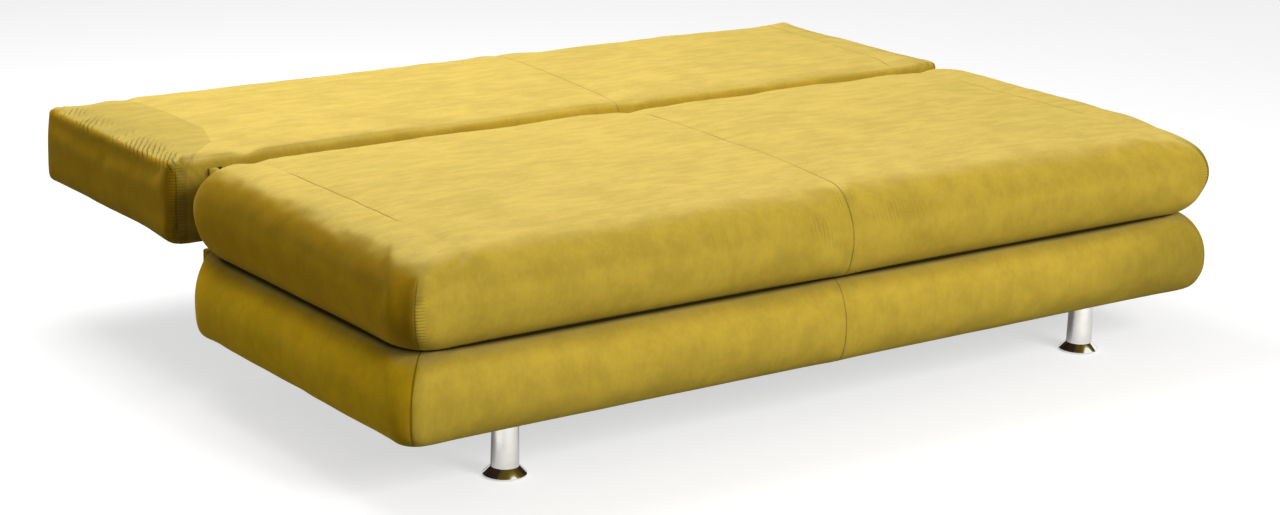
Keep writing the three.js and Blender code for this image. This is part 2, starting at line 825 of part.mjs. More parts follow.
// Seat arm: an outer cheek screwed to the seat's end rail and an inner cheek, joined by a web.
function seatArm(side) {
  const rearEnd = seatArmRear();
  const frontEnd = new THREE.Vector2(rearEnd.x - armStrapLength, rearEnd.y);
  const anchor = springAnchor();
  const outer = [outerCheekX, outerCheekX + steelThickness];
  const inner = [innerCheekX, innerCheekX + steelThickness];
  const cheek = link([pivot, armHub], [pawlPivot, cheekBoss], [anchor, webWidth / 2 + overrun]);
  const pieces = [
    plate(cheek, side, ...outer),
    plate(cheek, side, ...inner),
    plate(link([pivot, armHub], [rearEnd, armStrapRadius]), side, ...outer),
    plate(link([rearEnd, armStrapRadius], [frontEnd, armStrapRadius]), side, ...outer),
    armWeb(side),
  ];
  const x0 = innerCheekX - overrun;
  const x1 = outerCheekX + steelThickness + overrun;
  const pinBore = plate(disc(pivot, pinRadius + gap), side, x0, x1);
  const pawlBore = plate(disc(pawlPivot, pawlPinRadius + gap), side, x0, x1);
  return cut(join(...pieces), pinBore, pawlBore);
}

// Base bracket: a foot bolted inside the box's end board and a neck that rises to the pivot.
function baseBracket(side) {
  const footRear = boxRearY - bracketFootSetback;
  const footFront = footRear - bracketFootDepth;
  const footTop = creaseZ - bracketFootDrop;
  const footBottom = footTop - bracketFootHeight;
  const x1 = bracketX + steelThickness;
  const neckEnd = new THREE.Vector2(footRear - bracketNeckSetback, footTop - bracketNeck);
  const foot = roundedRectangle(footFront, footRear, footBottom, footTop, bracketFootCorner);
  const pieces = [
    plate(foot, side, bracketX, x1),
    plate(link([pivot, bracketHub], [neckEnd, bracketNeck]), side, bracketX, x1),
  ];
  const inset = bracketFootCorner + boltHeadRadius / 2;
  const bolts = [
    new THREE.Vector2(footFront + inset, footBottom + inset),
    new THREE.Vector2(footRear - inset, footBottom + inset),
    new THREE.Vector2(footFront + inset, footTop - inset),
  ];
  for (const bolt of bolts) {
    const head = new THREE.Shape(circle(bolt, boltHeadRadius, boltSteps));
    pieces.push(plate(head, side, bracketX - boltHeadThickness, x1));
  }
  const bore = plate(disc(pivot, pinRadius + gap), side, bracketX - overrun, x1 + overrun);
  return cut(join(...pieces), bore);
}

function hingePin(side) {
  const profile = [
    new THREE.Vector2(0, pinInnerX),
    new THREE.Vector2(pinHeadRadius, pinInnerX),
    new THREE.Vector2(pinHeadRadius, pinInnerX + pinHeadThickness),
    new THREE.Vector2(pinRadius, pinInnerX + pinHeadThickness),
    new THREE.Vector2(pinRadius, pinOuterX - pinHeadThickness),
    new THREE.Vector2(pinHeadRadius, pinOuterX - pinHeadThickness),
    new THREE.Vector2(pinHeadRadius, pinOuterX),
    new THREE.Vector2(0, pinOuterX),
  ];
  return turnedAcross(profile, side, pivot);
}

function pawlPin(side) {
  const headX = innerCheekX - gap;
  const profile = [
    new THREE.Vector2(0, headX - pinHeadThickness),
    new THREE.Vector2(pawlPinHeadRadius, headX - pinHeadThickness),
    new THREE.Vector2(pawlPinHeadRadius, headX),
    new THREE.Vector2(pawlPinRadius, headX),
    new THREE.Vector2(pawlPinRadius, outerCheekX + steelThickness),
    new THREE.Vector2(0, outerCheekX + steelThickness),
  ];
  return turnedAcross(profile, side, pawlPivot);
}

// Pawl: a strut with one ratchet tooth, drawn in the notch and then lifted clear of the sector.
function pawl(side) {
  const inner = sectorRadius + pawlRimGap;
  const outer = inner + pawlWidth;
  const lead = noseLead + tipOverhang;
  const at = (sideways, outwards) => ratchetPoint(sideways, outwards, pawlBearing);
  const strut = new THREE.Shape([
    at(-pawlReach, inner),
    at(noseLead - noseWidth - rampWidth, inner),
    at(noseLead - noseWidth, sectorRadius - noseDepth),
    at(noseLead, sectorRadius - noseDepth),
    at(noseLead, inner),
    at(lead, inner + tipOverhang),
    at(lead, outer - tipOverhang),
    at(noseLead, outer),
    at(-pawlReach, outer),
  ]);
  const x1 = sectorX + steelThickness;
  const whole = join(
    plate(strut, side, sectorX, x1),
    plate(link([pawlPivot, pawlTailRadius], [pawlTailPoint(), pawlTailRadius]), side, sectorX, x1),
    plate(disc(pawlPivot, pawlBoss), side, sectorX, x1),
  );
  const bore = plate(disc(pawlPivot, pawlPinRadius + gap), side, sectorX - overrun, x1 + overrun);
  return turnAbout(cut(whole, bore), pawlPivot, -pawlLift);
}

// Helix of the pawl's tension spring. Each end runs straight along the middle for one wire, then
// opens to the coil's radius within another.
class CoilPath extends THREE.Curve {
  constructor(start, end, x) {
    super();
    this.start = new THREE.Vector3(x, start.x, start.y);
    this.axis = new THREE.Vector3(x, end.x, end.y).sub(this.start);
    this.length = this.axis.length();
    this.axis.normalize();
    this.across = new THREE.Vector3(1, 0, 0);
    this.third = new THREE.Vector3().crossVectors(this.axis, this.across);
  }

  getPoint(t, target = new THREE.Vector3()) {
    const lead = coilWire * 2 / this.length;
    const wound = THREE.MathUtils.clamp((t - lead) / (1 - lead * 2), 0, 1);
    const angle = wound * coilTurns * Math.PI * 2;
    const fromEnd = Math.min(t, 1 - t) * this.length;
    const reach = coilRadius * THREE.MathUtils.smoothstep(fromEnd, coilWire, coilWire * 2);
    return target.copy(this.start)
      .addScaledVector(this.axis, t * this.length)
      .addScaledVector(this.across, reach * Math.cos(angle))
      .addScaledVector(this.third, reach * Math.sin(angle));
  }
}

// The least gap from the coil to itself, between points more than half a turn apart along the wire.
function leastCoilGap(path) {
  const divisions = coilTurns * coilStepsPerTurn * coilSides;
  const points = path.getPoints(divisions);
  const lengths = path.getLengths(divisions);
  const halfTurn = Math.PI * coilRadius;
  let least = Infinity;
  points.forEach((point, i) => {
    points.forEach((other, j) => {
      if (lengths[j] - lengths[i] > halfTurn) {
        least = Math.min(least, point.distanceTo(other));
      }
    });
  });
  return least - coilWire;
}

function pawlSpring(side) {
  const angle = radians(pawlBearing);
  const outwards = new THREE.Vector2(Math.cos(angle), Math.sin(angle));
  const tail = turnedPoint(pawlTailPoint(), pawlPivot, -pawlLift);
  const start = tail.clone().addScaledVector(outwards, pawlTailRadius + gap);
  const end = start.clone().addScaledVector(outwards, coilLength());
  const path = new CoilPath(start, end, side * (sectorX + steelThickness / 2));
  console.log(`pawl spring: least gap between turns ${leastCoilGap(path).toFixed(2)} mm`);
  return wire(path, coilWire, (coilTurns + 2) * coilStepsPerTurn, coilSides);
}

// Assembly
const sofaBed = new THREE.Group();

function add(name, geometry, material) {
  const mesh = new THREE.Mesh(geometry, material);
  mesh.name = name;
  sofaBed.add(mesh);
}

function addLegs() {
  for (const [sideName, side] of [['left', -1], ['right', 1]]) {
    for (const [endName, y] of [['front', legFrontY], ['rear', legRearY]]) {
      add(`leg_${endName}_${sideName}`, turned(legProfile(), side * legX, y), finishes.chrome);
      add(`glide_${endName}_${sideName}`, turned(glideProfile(), side * legX, y), finishes.plastic);
      add(`leg_plate_${endName}_${sideName}`, legPlate(side * legX, y), finishes.blackSteel);
    }
    add(`leg_rail_${sideName}`, legRail(side * legX), finishes.timber);
  }
}

function addBox() {
  const frontX = boxInnerX - gap;
  const rearX = bracketX - gap;
  const floorTop = boxFloorZ + boxFloorThickness;
  add('box_front', block(-frontX, frontX, boxFrontY, boxFrontY + boardThickness, boxBottomZ, baseTopZ),
    finishes.board);
  add('box_rear', block(-rearX, rearX, boxRearY - boardThickness, boxRearY, boxBottomZ, baseTopZ - rearBoardDrop),
    finishes.board);
  add('box_left', block(-boxOuterX, -boxInnerX, boxFrontY, boxRearY, boxBottomZ, baseTopZ), finishes.board);
  add('box_right', block(boxInnerX, boxOuterX, boxFrontY, boxRearY, boxBottomZ, baseTopZ), finishes.board);
  add('box_divider', block(-boardThickness / 2, boardThickness / 2, boxInnerFrontY, boxInnerRearY,
    floorTop + gap, baseTopZ - dividerDrop), finishes.board);
  add('box_floor', block(-frontX, frontX, boxInnerFrontY, boxInnerRearY, boxFloorZ, floorTop),
    finishes.hardboard);
}

function addSeat() {
  const rails = frameRails(seatRailOuterX, seatFrameFrontY, seatFrameRearY, seatUnderZ);
  for (const [place, rail] of Object.entries(rails)) {
    add(`seat_rail_${place}`, rail, finishes.timber);
  }
  const reachX = seatRailOuterX - railWidth / 4;
  const coverTop = seatUnderZ - gap;
  add('seat_springs', seatSprings(), finishes.springSteel);
  add('seat_dust_cover', block(-reachX, reachX, boxInnerFrontY + gap, seatFrameRearY - railWidth / 4,
    coverTop - dustCoverThickness, coverTop), finishes.dustCloth);
  add('seat_cushion', seatCushion(), finishes.velvetTop);
}

function addBack() {
  const rails = frameRails(backRailOuterX, backFrameFrontY, backFrameRearY, backRailZ());
  for (const [place, rail] of Object.entries(rails)) {
    add(`back_rail_${place}`, rail, finishes.timber);
  }
  const reachX = backRailOuterX - railWidth / 4;
  const coverTop = backRailZ() - gap;
  add('back_webbing', backWebbing(), finishes.webbing);
  add('back_dust_cover', block(-reachX, reachX, backFrameFrontY + railWidth / 4, backFrameRearY - railWidth / 4,
    coverTop - dustCoverThickness, coverTop), finishes.dustCloth);
  add('back_cushion', backCushion(), finishes.velvetTop);
}

function addFittings() {
  for (const [name, side] of [['left', -1], ['right', 1]]) {
    add(`${name}_base_bracket`, baseBracket(side), finishes.blackSteel);
    add(`${name}_seat_arm`, seatArm(side), finishes.blackSteel);
    add(`${name}_back_arm`, backArm(side), finishes.blackSteel);
    add(`${name}_hinge_pin`, hingePin(side), finishes.blackSteel);
    add(`${name}_pawl`, pawl(side), finishes.springSteel);
    add(`${name}_pawl_pin`, pawlPin(side), finishes.blackSteel);
    add(`${name}_pawl_spring`, pawlSpring(side), finishes.springSteel);
  }
}

addLegs();
addBox();
add('base_cushion', baseRoll(), finishes.velvetSide);
add('rear_cover', rearCover(), finishes.velvetSide);
addSeat();
addBack();
addFittings();

// The origin moves to the floor under the middle of the bed.
const extent = new THREE.Box3().setFromObject(sofaBed);
sofaBed.position.y = -(extent.min.y + extent.max.y) / 2;

const model = new THREE.Group();
model.add(sofaBed);

export default model;
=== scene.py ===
"""Click clack sofa bed in mustard velvet, laid flat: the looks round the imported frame.

Metres, +X to the right seen from the front, +Y to the back, +Z up, floor at z = 0.
"""
import math

import bmesh
import bpy
import numpy as np
from mathutils import Matrix, Vector


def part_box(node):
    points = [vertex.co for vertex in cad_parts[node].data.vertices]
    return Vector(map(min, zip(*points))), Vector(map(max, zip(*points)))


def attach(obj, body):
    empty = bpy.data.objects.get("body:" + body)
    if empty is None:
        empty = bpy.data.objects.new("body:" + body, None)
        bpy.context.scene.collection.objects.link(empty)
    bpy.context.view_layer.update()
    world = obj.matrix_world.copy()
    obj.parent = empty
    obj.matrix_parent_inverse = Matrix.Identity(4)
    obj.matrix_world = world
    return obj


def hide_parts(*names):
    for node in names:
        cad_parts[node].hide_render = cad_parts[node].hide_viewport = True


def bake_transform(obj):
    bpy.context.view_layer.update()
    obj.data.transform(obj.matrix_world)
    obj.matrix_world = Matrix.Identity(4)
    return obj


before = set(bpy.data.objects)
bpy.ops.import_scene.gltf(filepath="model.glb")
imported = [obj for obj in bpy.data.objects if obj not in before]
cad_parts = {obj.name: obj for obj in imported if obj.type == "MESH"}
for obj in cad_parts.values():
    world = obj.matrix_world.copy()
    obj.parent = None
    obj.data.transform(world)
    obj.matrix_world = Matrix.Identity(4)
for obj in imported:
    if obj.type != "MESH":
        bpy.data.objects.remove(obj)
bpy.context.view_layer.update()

scene = bpy.context.scene
scene.view_settings.view_transform = "Standard"

# Places taken from the frame
SEAT_LOW, SEAT_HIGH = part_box("seat_cushion")
BASE_LOW, BASE_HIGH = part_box("base_cushion")
BACK_LOW, BACK_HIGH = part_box("back_cushion")
COVER_LOW, COVER_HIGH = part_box("rear_cover")
SEAT_RAIL_LOW, SEAT_RAIL_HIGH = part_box("seat_rail_right")
BACK_RAIL_LOW, BACK_RAIL_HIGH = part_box("back_rail_right")
BACK_ARM_LOW, BACK_ARM_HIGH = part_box("right_back_arm")
PIN_LOW, PIN_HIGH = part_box("right_hinge_pin")
PAWL_LOW, PAWL_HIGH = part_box("right_pawl")
SEAT_ARM_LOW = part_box("right_seat_arm")[0]
BOX_FRONT_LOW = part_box("box_front")[0]
BOX_REAR_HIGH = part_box("box_rear")[1]
BOX_SIDE_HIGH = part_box("box_right")[1]
SPRINGS_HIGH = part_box("seat_springs")[1]
WEBBING_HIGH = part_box("back_webbing")[1]
BRACKET_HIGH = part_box("right_base_bracket")[1]

# Forms of the pads
PAD_BULGE = 0.055
CREASE_DEPTH = 0.006
SWELL = 0.004
TOP_SWELL = 0.6 * SWELL
SEAT_TUCK = 0.003
SEAT_SHOULDER = 0.090
SEAT_CROWN = 0.006
SEAT_FRONT_CORNER = 0.080
SEAT_REAR_CORNER = 0.070
FRONT_CORNER_SHARE = -0.4
REAR_CORNER_SHARE = 0.6
BASE_FOOT_CORNER = 0.036
BASE_FULLNESS = 2.5
BASE_REAR_CORNER = 0.018
BACK_EDGE = 0.012
BACK_FOOT_EDGE = 0.008
BACK_FOOT_RISE = 0.020
END_FOOT_SHARE = 2.4
BACK_SWELL = 0.003
BACK_CROWN = 0.008
BACK_CORNER = 0.018
GATHER = 0.0165
SIDE_DRAW_IN = 0.004
SMALLEST_CORNER = 0.012
BOX_CORNER = 0.010
INNER_REACH = 0.04
ARC_STEPS = 6
COVER_EDGE = 0.004
COVER_CORNER = 0.0005
UNDER_GAP = 0.0001
TOUCH = 0.001

# The hollows that hold the seat's and the back's frames, and the slots for the fittings
HOLLOW_ROOM = 0.004
TIGHT_ROOM = 0.0006
HOLLOW_CORNER = 0.0015
SLOT_ROOM = 0.0016
SLOT_OVERRUN = 0.020
SIDE_ROOM = 0.0030
BACK_SLOT_DEPTH = 0.076
BACK_SLOT_RISE = 0.016
TONGUE_ROOM = 0.0016
TONGUE_GAP = 0.0008
TONGUE_THICKNESS = 0.0018
CHEEK_ROOM = 0.0010
CHEEK_THICKNESS = 0.0010
CHEEK_DROP = 0.050
HOOD_SHADE = 0.30

# Places of the seams. An upright seam is (slope, place) and lies at x = place + slope * y.
CREASE_X = SEAT_HIGH.x - PAD_BULGE
CREASE_FRONT = SEAT_LOW.y + PAD_BULGE
CREASE_REAR = SEAT_HIGH.y - PAD_BULGE
CREASE_Z = (BASE_HIGH.z + SEAT_LOW.z) / 2
SEAM_TURN = 0.012
BASE_SEAM_TURN = 0.004
SEAT_MIDDLE = (0.053, 0.040)
BASE_MIDDLE = (0, -0.015)
BACK_MIDDLE = (0.085, 0.058)
BACK_RIGHT = (0.070, 0.845)
BACK_LEFT_END = (0, -0.979)
SEAT_END_SEAM = 0.850
BACK_CAP_SEAM = -0.811
CAP_TOP_Y = 0.360
CAP_SLOPE = 0.36
CAP_CORNER_X = -0.845
CAP_CORNER_Y = 0.255
CORNER_SLOPE = 0.96

# The photograph's camera, fitted to the corners and creases of the pads
CAMERA_PLACE = Vector((-3.2612, -4.5716, 1.7243))
CAMERA_YAW = math.radians(35.73)
CAMERA_PITCH = math.radians(15.62)
CAMERA_ROLL = math.radians(1.245)
CAMERA_LENS = 77.16
SENSOR_WIDTH = 36.0

# Colours, as linear values
VELVET = (0.580, 0.402, 0.044)
# These three are painted light and shade: the cloth that faces up as if lit from above, the ends of the seat
# and back in shade, and the base's ends as if lit from below.
VELVET_PAINTED_TOP_LIGHT = (0.600, 0.436, 0.098)
VELVET_PAINTED_END_SHADE = (0.470, 0.266, 0.001)
VELVET_PAINTED_LIT_END = (0.650, 0.392, 0.004)
VELVET_SHEEN = (1.0, 0.84, 0.12)
# The seams' dark colour, and also the painted shade in the small folds.
SEAM_AND_FOLD_SHADE_COLOUR = (0.20, 0.125, 0.004)
# Painted shade: the near black that creases and other shaded places are darkened towards.
PAINTED_SHADE_COLOUR = (0.014, 0.009, 0.001)
CAP_TINT = (0.82, 0.82, 0.80)
CAP_EDGE = 0.0008
PINE = ((0.66, 0.47, 0.27), (0.50, 0.32, 0.16))
WHITE = (1.0, 1.0, 1.0)
FLOOR_SEEN = (0.46, 0.46, 0.46)
FLOOR_LIT = (0.22, 0.22, 0.22)
FLOOR_GLOW = 0.62
MIRRORED_GLOW = 0.12

# The floor's half width, the world's level and the place that the lamps light
FLOOR_REACH = 30
WORLD_LEVEL = 0.36
AIM = Vector((0, 0, 0.4))


def add_camera():
    """A camera turned by yaw about Z, then down by pitch, then rolled about its own line of sight."""
    forward = Vector((
        math.sin(CAMERA_YAW) * math.cos(CAMERA_PITCH),
        math.cos(CAMERA_YAW) * math.cos(CAMERA_PITCH),
        -math.sin(CAMERA_PITCH),
    ))
    right = Vector((math.cos(CAMERA_YAW), -math.sin(CAMERA_YAW), 0))
    up = right.cross(forward)
    rolled_right = right * math.cos(CAMERA_ROLL) + up * math.sin(CAMERA_ROLL)
    rolled_up = up * math.cos(CAMERA_ROLL) - right * math.sin(CAMERA_ROLL)
    data = bpy.data.cameras.new("photo_camera")
    data.lens = CAMERA_LENS
    data.sensor_width = SENSOR_WIDTH
    camera = bpy.data.objects.new("photo_camera", data)
    turn = Matrix((rolled_right, rolled_up, -forward)).transposed().to_4x4()
    camera.matrix_world = Matrix.Translation(CAMERA_PLACE) @ turn
    scene.collection.objects.link(camera)
    scene.camera = camera


add_camera()


# Surfaces

def make_object(name, points, faces, material=None, smooth=True):
    """A mesh object from an array of points and a list of faces."""
    mesh = bpy.data.meshes.new(name)
    mesh.from_pydata(points.tolist(), [], faces)
    mesh.update()
    mesh.polygons.foreach_set("use_smooth", np.full(len(mesh.polygons), smooth))
    piece = bpy.data.objects.new(name, mesh)
    scene.collection.objects.link(piece)
    if material is not None:
        mesh.materials.append(material)
    return piece


def weld(patches):
    """One mesh from grids of points, each rows x columns x 3.

    Points that coincide become one. A four-sided face that has lost a side that way becomes a
    triangle, and one that has lost more goes.
    """
    points, faces, start = [], [], 0
    for grid in patches:
        rows, columns = grid.shape[:2]
        index = start + np.arange(rows * columns).reshape(rows, columns)
        quads = np.stack([index[:-1, :-1], index[:-1, 1:], index[1:, 1:], index[1:, :-1]], axis=-1)
        points.append(grid.reshape(-1, 3))
        faces.append(quads.reshape(-1, 4))
        start += rows * columns
    points = np.concatenate(points)
    faces = np.concatenate(faces)
    _, first, inverse = np.unique(np.round(points, 6), axis=0, return_index=True, return_inverse=True)
    faces = inverse.reshape(-1)[faces]
    lost = faces == np.roll(faces, -1, axis=1)
    whole = faces[lost.sum(axis=1) == 0]
    closing = faces[lost.sum(axis=1) == 1]
    kept = ~lost[lost.sum(axis=1) == 1]
    triangles = closing[kept].reshape(-1, 3)
    return points[first], whole.tolist() + triangles.tolist()


def evenly(points, count):
    """A polyline of count points, evenly spaced along a finer one."""
    steps = np.linalg.norm(np.diff(points, axis=0), axis=1)
    along = np.concatenate([[0], np.cumsum(steps)])
    wanted = np.linspace(0, along[-1], count)
    return np.stack([np.interp(wanted, along, points[:, axis]) for axis in range(points.shape[1])], axis=1)


def graded(count, places, width=0.03, finer=3.0):
    """Shares from 0 to 1 that lie closer together near some places.

    The density of points is 1 + (finer - 1) times a bell at each place, and the shares are the
    inverse of its running sum.
    """
    t = np.linspace(0, 1, 4001)
    density = 1 + (finer - 1) * sum(bell(t - place, width) for place in places)
    running = np.concatenate([[0], np.cumsum((density[1:] + density[:-1]) / 2)])
    return np.interp(np.linspace(0, 1, count), running / running[-1], t)


def arc(centre, radius, first, last, steps):
    """Points on a level arc between two angles, in quarters of a turn."""
    turn = np.linspace(first, last, steps) * np.pi / 2
    return np.array(centre) + radius * np.stack([np.cos(turn), np.sin(turn)], axis=1)


def lift(outline, z):
    """A level outline of (x, y) points at the height z."""
    return np.concatenate([outline, np.full((len(outline), 1), z)], axis=1)


def level_sides(level, x_shares, y_shares, arc_steps):
    """The four sides of a rounded rectangle, anticlockwise from the front left.

    A level is (half_x, front_y, rear_y, front_radius, rear_radius, z, draw_in). Each side runs from
    the middle of one corner arc to the middle of the next: half an arc, a straight stretch drawn in
    by draw_in times a sine, and half an arc.
    """
    half_x, front_y, rear_y, front_radius, rear_radius, z, draw_in = level
    radii = [front_radius, front_radius, rear_radius, rear_radius]
    front_centre, rear_centre = front_y + front_radius, rear_y - rear_radius
    centres = [
        (front_radius - half_x, front_centre), (half_x - front_radius, front_centre),
        (half_x - rear_radius, rear_centre), (rear_radius - half_x, rear_centre),
    ]
    sides = []
    for i, shares in enumerate([x_shares, y_shares, 1 - x_shares[::-1], 1 - y_shares[::-1]]):
        following = (i + 1) % 4
        before = arc(centres[i], radii[i], i - 1.5, i - 1, arc_steps)
        after = arc(centres[following], radii[following], i - 1, i - 0.5, arc_steps)
        along = shares[1:-1, None]
        inward = -np.array([math.cos(np.pi / 2 * (i - 1)), math.sin(np.pi / 2 * (i - 1))])
        straight = before[-1] + (after[0] - before[-1]) * along + inward * draw_in * np.sin(np.pi * along)
        sides.append(lift(np.concatenate([before, straight, after]), z))
    return sides


def coons(sides, crown=0.0):
    """The patch inside four sides: each pair of opposite sides is blended, less the corners.

    It rises by crown (1 - x^8)(1 - y^4), with x and y from -1 to 1 across the patch.
    """
    front, right, rear, left = sides
    rear = rear[::-1]
    left = left[::-1]
    u = ((front[:, 0] - front[0, 0]) / (front[-1, 0] - front[0, 0]))[None, :, None]
    v = ((left[:, 1] - left[0, 1]) / (left[-1, 1] - left[0, 1]))[:, None, None]
    corners = ((1 - u) * (1 - v) * front[0] + u * (1 - v) * front[-1]
               + (1 - u) * v * rear[0] + u * v * rear[-1])
    patch = (1 - v) * front[None] + v * rear[None] + (1 - u) * left[:, None] + u * right[:, None] - corners
    return patch + crown * (1 - (2 * u - 1) ** 8) * (1 - (2 * v - 1) ** 4) * (0, 0, 1)


def pillow(levels, x_shares, y_shares, arc_steps, crown):
    """A closed pad: rounded rectangles one after another, a patch over the first and one over the last."""
    sides = [level_sides(level, x_shares, y_shares, arc_steps) for level in levels]
    walls = np.stack([np.concatenate([side[:-1] for side in four] + [four[0][:1]]) for four in sides])
    return weld([walls, coons(sides[-1], crown), coons(sides[0])[:, ::-1]])


def band(outer, inner, steps):
    """A closed body between an outer and an inner path, each levels x points x 3.

    The two paths are joined by straight lines at their ends and over the first and last levels.
    """
    shares = np.linspace(0, 1, steps)
    far = outer[:, -1:] + (inner[:, -1:] - outer[:, -1:]) * shares[1:-1, None]
    near = inner[:, :1] + (outer[:, :1] - inner[:, :1]) * shares[1:, None]
    walls = np.concatenate([outer, far, inner[:, ::-1], near], axis=1)
    over = outer[-1] + (inner[-1] - outer[-1]) * shares[:, None, None]
    under = outer[0] + (inner[0] - outer[0]) * shares[:, None, None]
    return weld([walls, over, under[:, ::-1]])


def lathe(profile, centre, segments):
    """A profile of (radius, height), from the axis to the axis, turned about a vertical line."""
    turn = np.linspace(0, 2 * np.pi, segments + 1)
    radius, height = profile[:, :1], profile[:, 1:]
    return weld([np.stack([
        centre[0] + radius * np.cos(turn), centre[1] + radius * np.sin(turn),
        np.broadcast_to(height, (len(profile), segments + 1)),
    ], axis=-1)])


def pillow_profile(bottom, top, waist, bulge, shoulder, count, fullness=2.0):
    """Two quarters: from the crease out to the bulge, and over the shoulder to the top.

    The upper quarter is an ellipse's. The lower is that of |x|^n + |z|^n = 1, n being the fullness.
    """
    turn = np.linspace(0, np.pi / 2, 60)
    across, down = np.sin(turn) ** (2 / fullness), np.abs(np.cos(turn)) ** (2 / fullness)
    low = np.stack([bulge * across, waist - (waist - bottom) * down], axis=1)
    high = np.stack([bulge - shoulder * (1 - np.cos(turn)), waist + (top - waist) * np.sin(turn)], axis=1)
    return evenly(np.concatenate([low, high[1:]]), count)


def boxed_profile(bottom, top, foot_edge, foot_rise, edge, swell, count):
    """A quarter ellipse at the bottom, a side that swells by a sine, and a quarter circle at the top."""
    turn = np.linspace(0, np.pi / 2, 20)
    share = np.linspace(0, 1, 40)[1:-1]
    height = top - bottom - foot_rise - edge
    low = np.stack([foot_edge * (np.sin(turn) - 1), bottom + foot_rise * (1 - np.cos(turn))], axis=1)
    side = np.stack([swell * np.sin(np.pi * share), bottom + foot_rise + height * share], axis=1)
    high = np.stack([edge * (np.cos(turn) - 1), top - edge + edge * np.sin(turn)], axis=1)
    return evenly(np.concatenate([low, side, high]), count)


def coordinates(piece):
    """The points of a piece, one row each."""
    points = np.zeros(len(piece.data.vertices) * 3)
    piece.data.vertices.foreach_get("co", points)
    return points.reshape(-1, 3)


def set_coordinates(piece, points):
    """Moves the points of a piece to these rows."""
    piece.data.vertices.foreach_set("co", points.astype(np.float32).ravel())
    piece.data.update()


def normals(piece):
    """The way that each point of a piece faces, as a unit vector."""
    facing = np.zeros(len(piece.data.vertices) * 3)
    piece.data.vertex_normals.foreach_get("vector", facing)
    return facing.reshape(-1, 3)


def field(points, seed, wavelength, waves=24, flatten=(1, 1, 1)):
    """A smooth random field from -1 to 1 or so: a sum of plane waves in random directions."""
    chance = np.random.default_rng(seed)
    directions = chance.normal(size=(waves, 3))
    directions /= np.linalg.norm(directions, axis=1)[:, None]
    lengths = wavelength * chance.uniform(0.7, 1.5, waves)
    phases = chance.uniform(0, 2 * np.pi, waves)
    waves_at = np.sin(points * np.array(flatten) @ (directions / lengths[:, None]).T * 2 * np.pi + phases)
    return waves_at.sum(axis=1) * math.sqrt(2 / waves) * 0.6


def bell(distance, width):
    """1 at a distance of 0, falling as a bell curve of that width."""
    return np.exp(-(distance / width) ** 2)


def ramp(value, low, high):
    """0 below low, 1 above high and smooth between."""
    share = np.clip((value - low) / (high - low), 0, 1)
    return share * share * (3 - 2 * share)


def simulate(piece, held, pressure, cap, frames=20):
    """Swells the piece as cloth under pressure, held where held is 1, and caps how far it may move."""
    rest = coordinates(piece)
    group = piece.vertex_groups.new(name="held")
    for weight in (0.25, 0.5, 0.75, 1.0):
        chosen = np.nonzero(np.abs(held - weight) < 0.125)[0]
        group.add(chosen.tolist(), weight, "REPLACE")
    cloth = piece.modifiers.new("Cloth", "CLOTH")
    cloth.settings.quality = 5
    cloth.settings.mass = 0.3
    cloth.settings.tension_stiffness = 12
    cloth.settings.compression_stiffness = 12
    cloth.settings.shear_stiffness = 4
    cloth.settings.bending_stiffness = 0.4
    cloth.settings.use_pressure = True
    cloth.settings.uniform_pressure_force = pressure
    cloth.settings.shrink_min = -0.012
    cloth.settings.vertex_group_mass = "held"
    cloth.settings.effector_weights.gravity = 0
    cloth.collision_settings.use_collision = False
    for number in range(1, frames + 1):
        scene.frame_set(number)
    graph = bpy.context.evaluated_depsgraph_get()
    swollen = np.zeros(len(rest) * 3)
    piece.evaluated_get(graph).data.vertices.foreach_get("co", swollen)
    moved = swollen.reshape(-1, 3) - rest
    piece.modifiers.remove(cloth)
    piece.vertex_groups.remove(group)
    scene.frame_set(1)
    distance = np.linalg.norm(moved, axis=1)[:, None]
    set_coordinates(piece, rest + evened(piece, moved * cap / np.sqrt(cap ** 2 + distance ** 2), held < 0.99))


def evened(piece, moved, free, rounds=6):
    """The moves averaged between neighbouring points where free, so that no narrow fold stays."""
    ends = np.zeros(len(piece.data.edges) * 2, np.int32)
    piece.data.edges.foreach_get("vertices", ends)
    first, second = ends.reshape(-1, 2).T
    count = np.bincount(ends, minlength=len(moved))[:, None]
    for _ in range(rounds):
        total = np.zeros_like(moved)
        np.add.at(total, first, moved[second])
        np.add.at(total, second, moved[first])
        moved = (moved + total / count) / 2 * free[:, None]
    return moved


def subdivide(piece):
    """One round of Catmull and Clark's subdivision, applied."""
    modifier = piece.modifiers.new("fine", "SUBSURF")
    modifier.levels = modifier.render_levels = 1
    graph = bpy.context.evaluated_depsgraph_get()
    fine = bpy.data.meshes.new_from_object(piece.evaluated_get(graph))
    piece.modifiers.remove(modifier)
    piece.data = fine
    fine.polygons.foreach_set("use_smooth", np.ones(len(fine.polygons), bool))


def prism(name, outline, left, right):
    """A prism: an outline of (y, z) points, closed, between two places along X."""
    count = len(outline)
    points = np.array([(x, y, z) for x in (left, right) for y, z in outline])
    sides = [(i, (i + 1) % count, count + (i + 1) % count, count + i) for i in range(count)]
    piece = make_object(name, points, [tuple(range(count))[::-1], tuple(range(count, 2 * count)), *sides])
    shape = bmesh.new()
    shape.from_mesh(piece.data)
    bmesh.ops.recalc_face_normals(shape, faces=shape.faces)
    shape.to_mesh(piece.data)
    shape.free()
    return piece


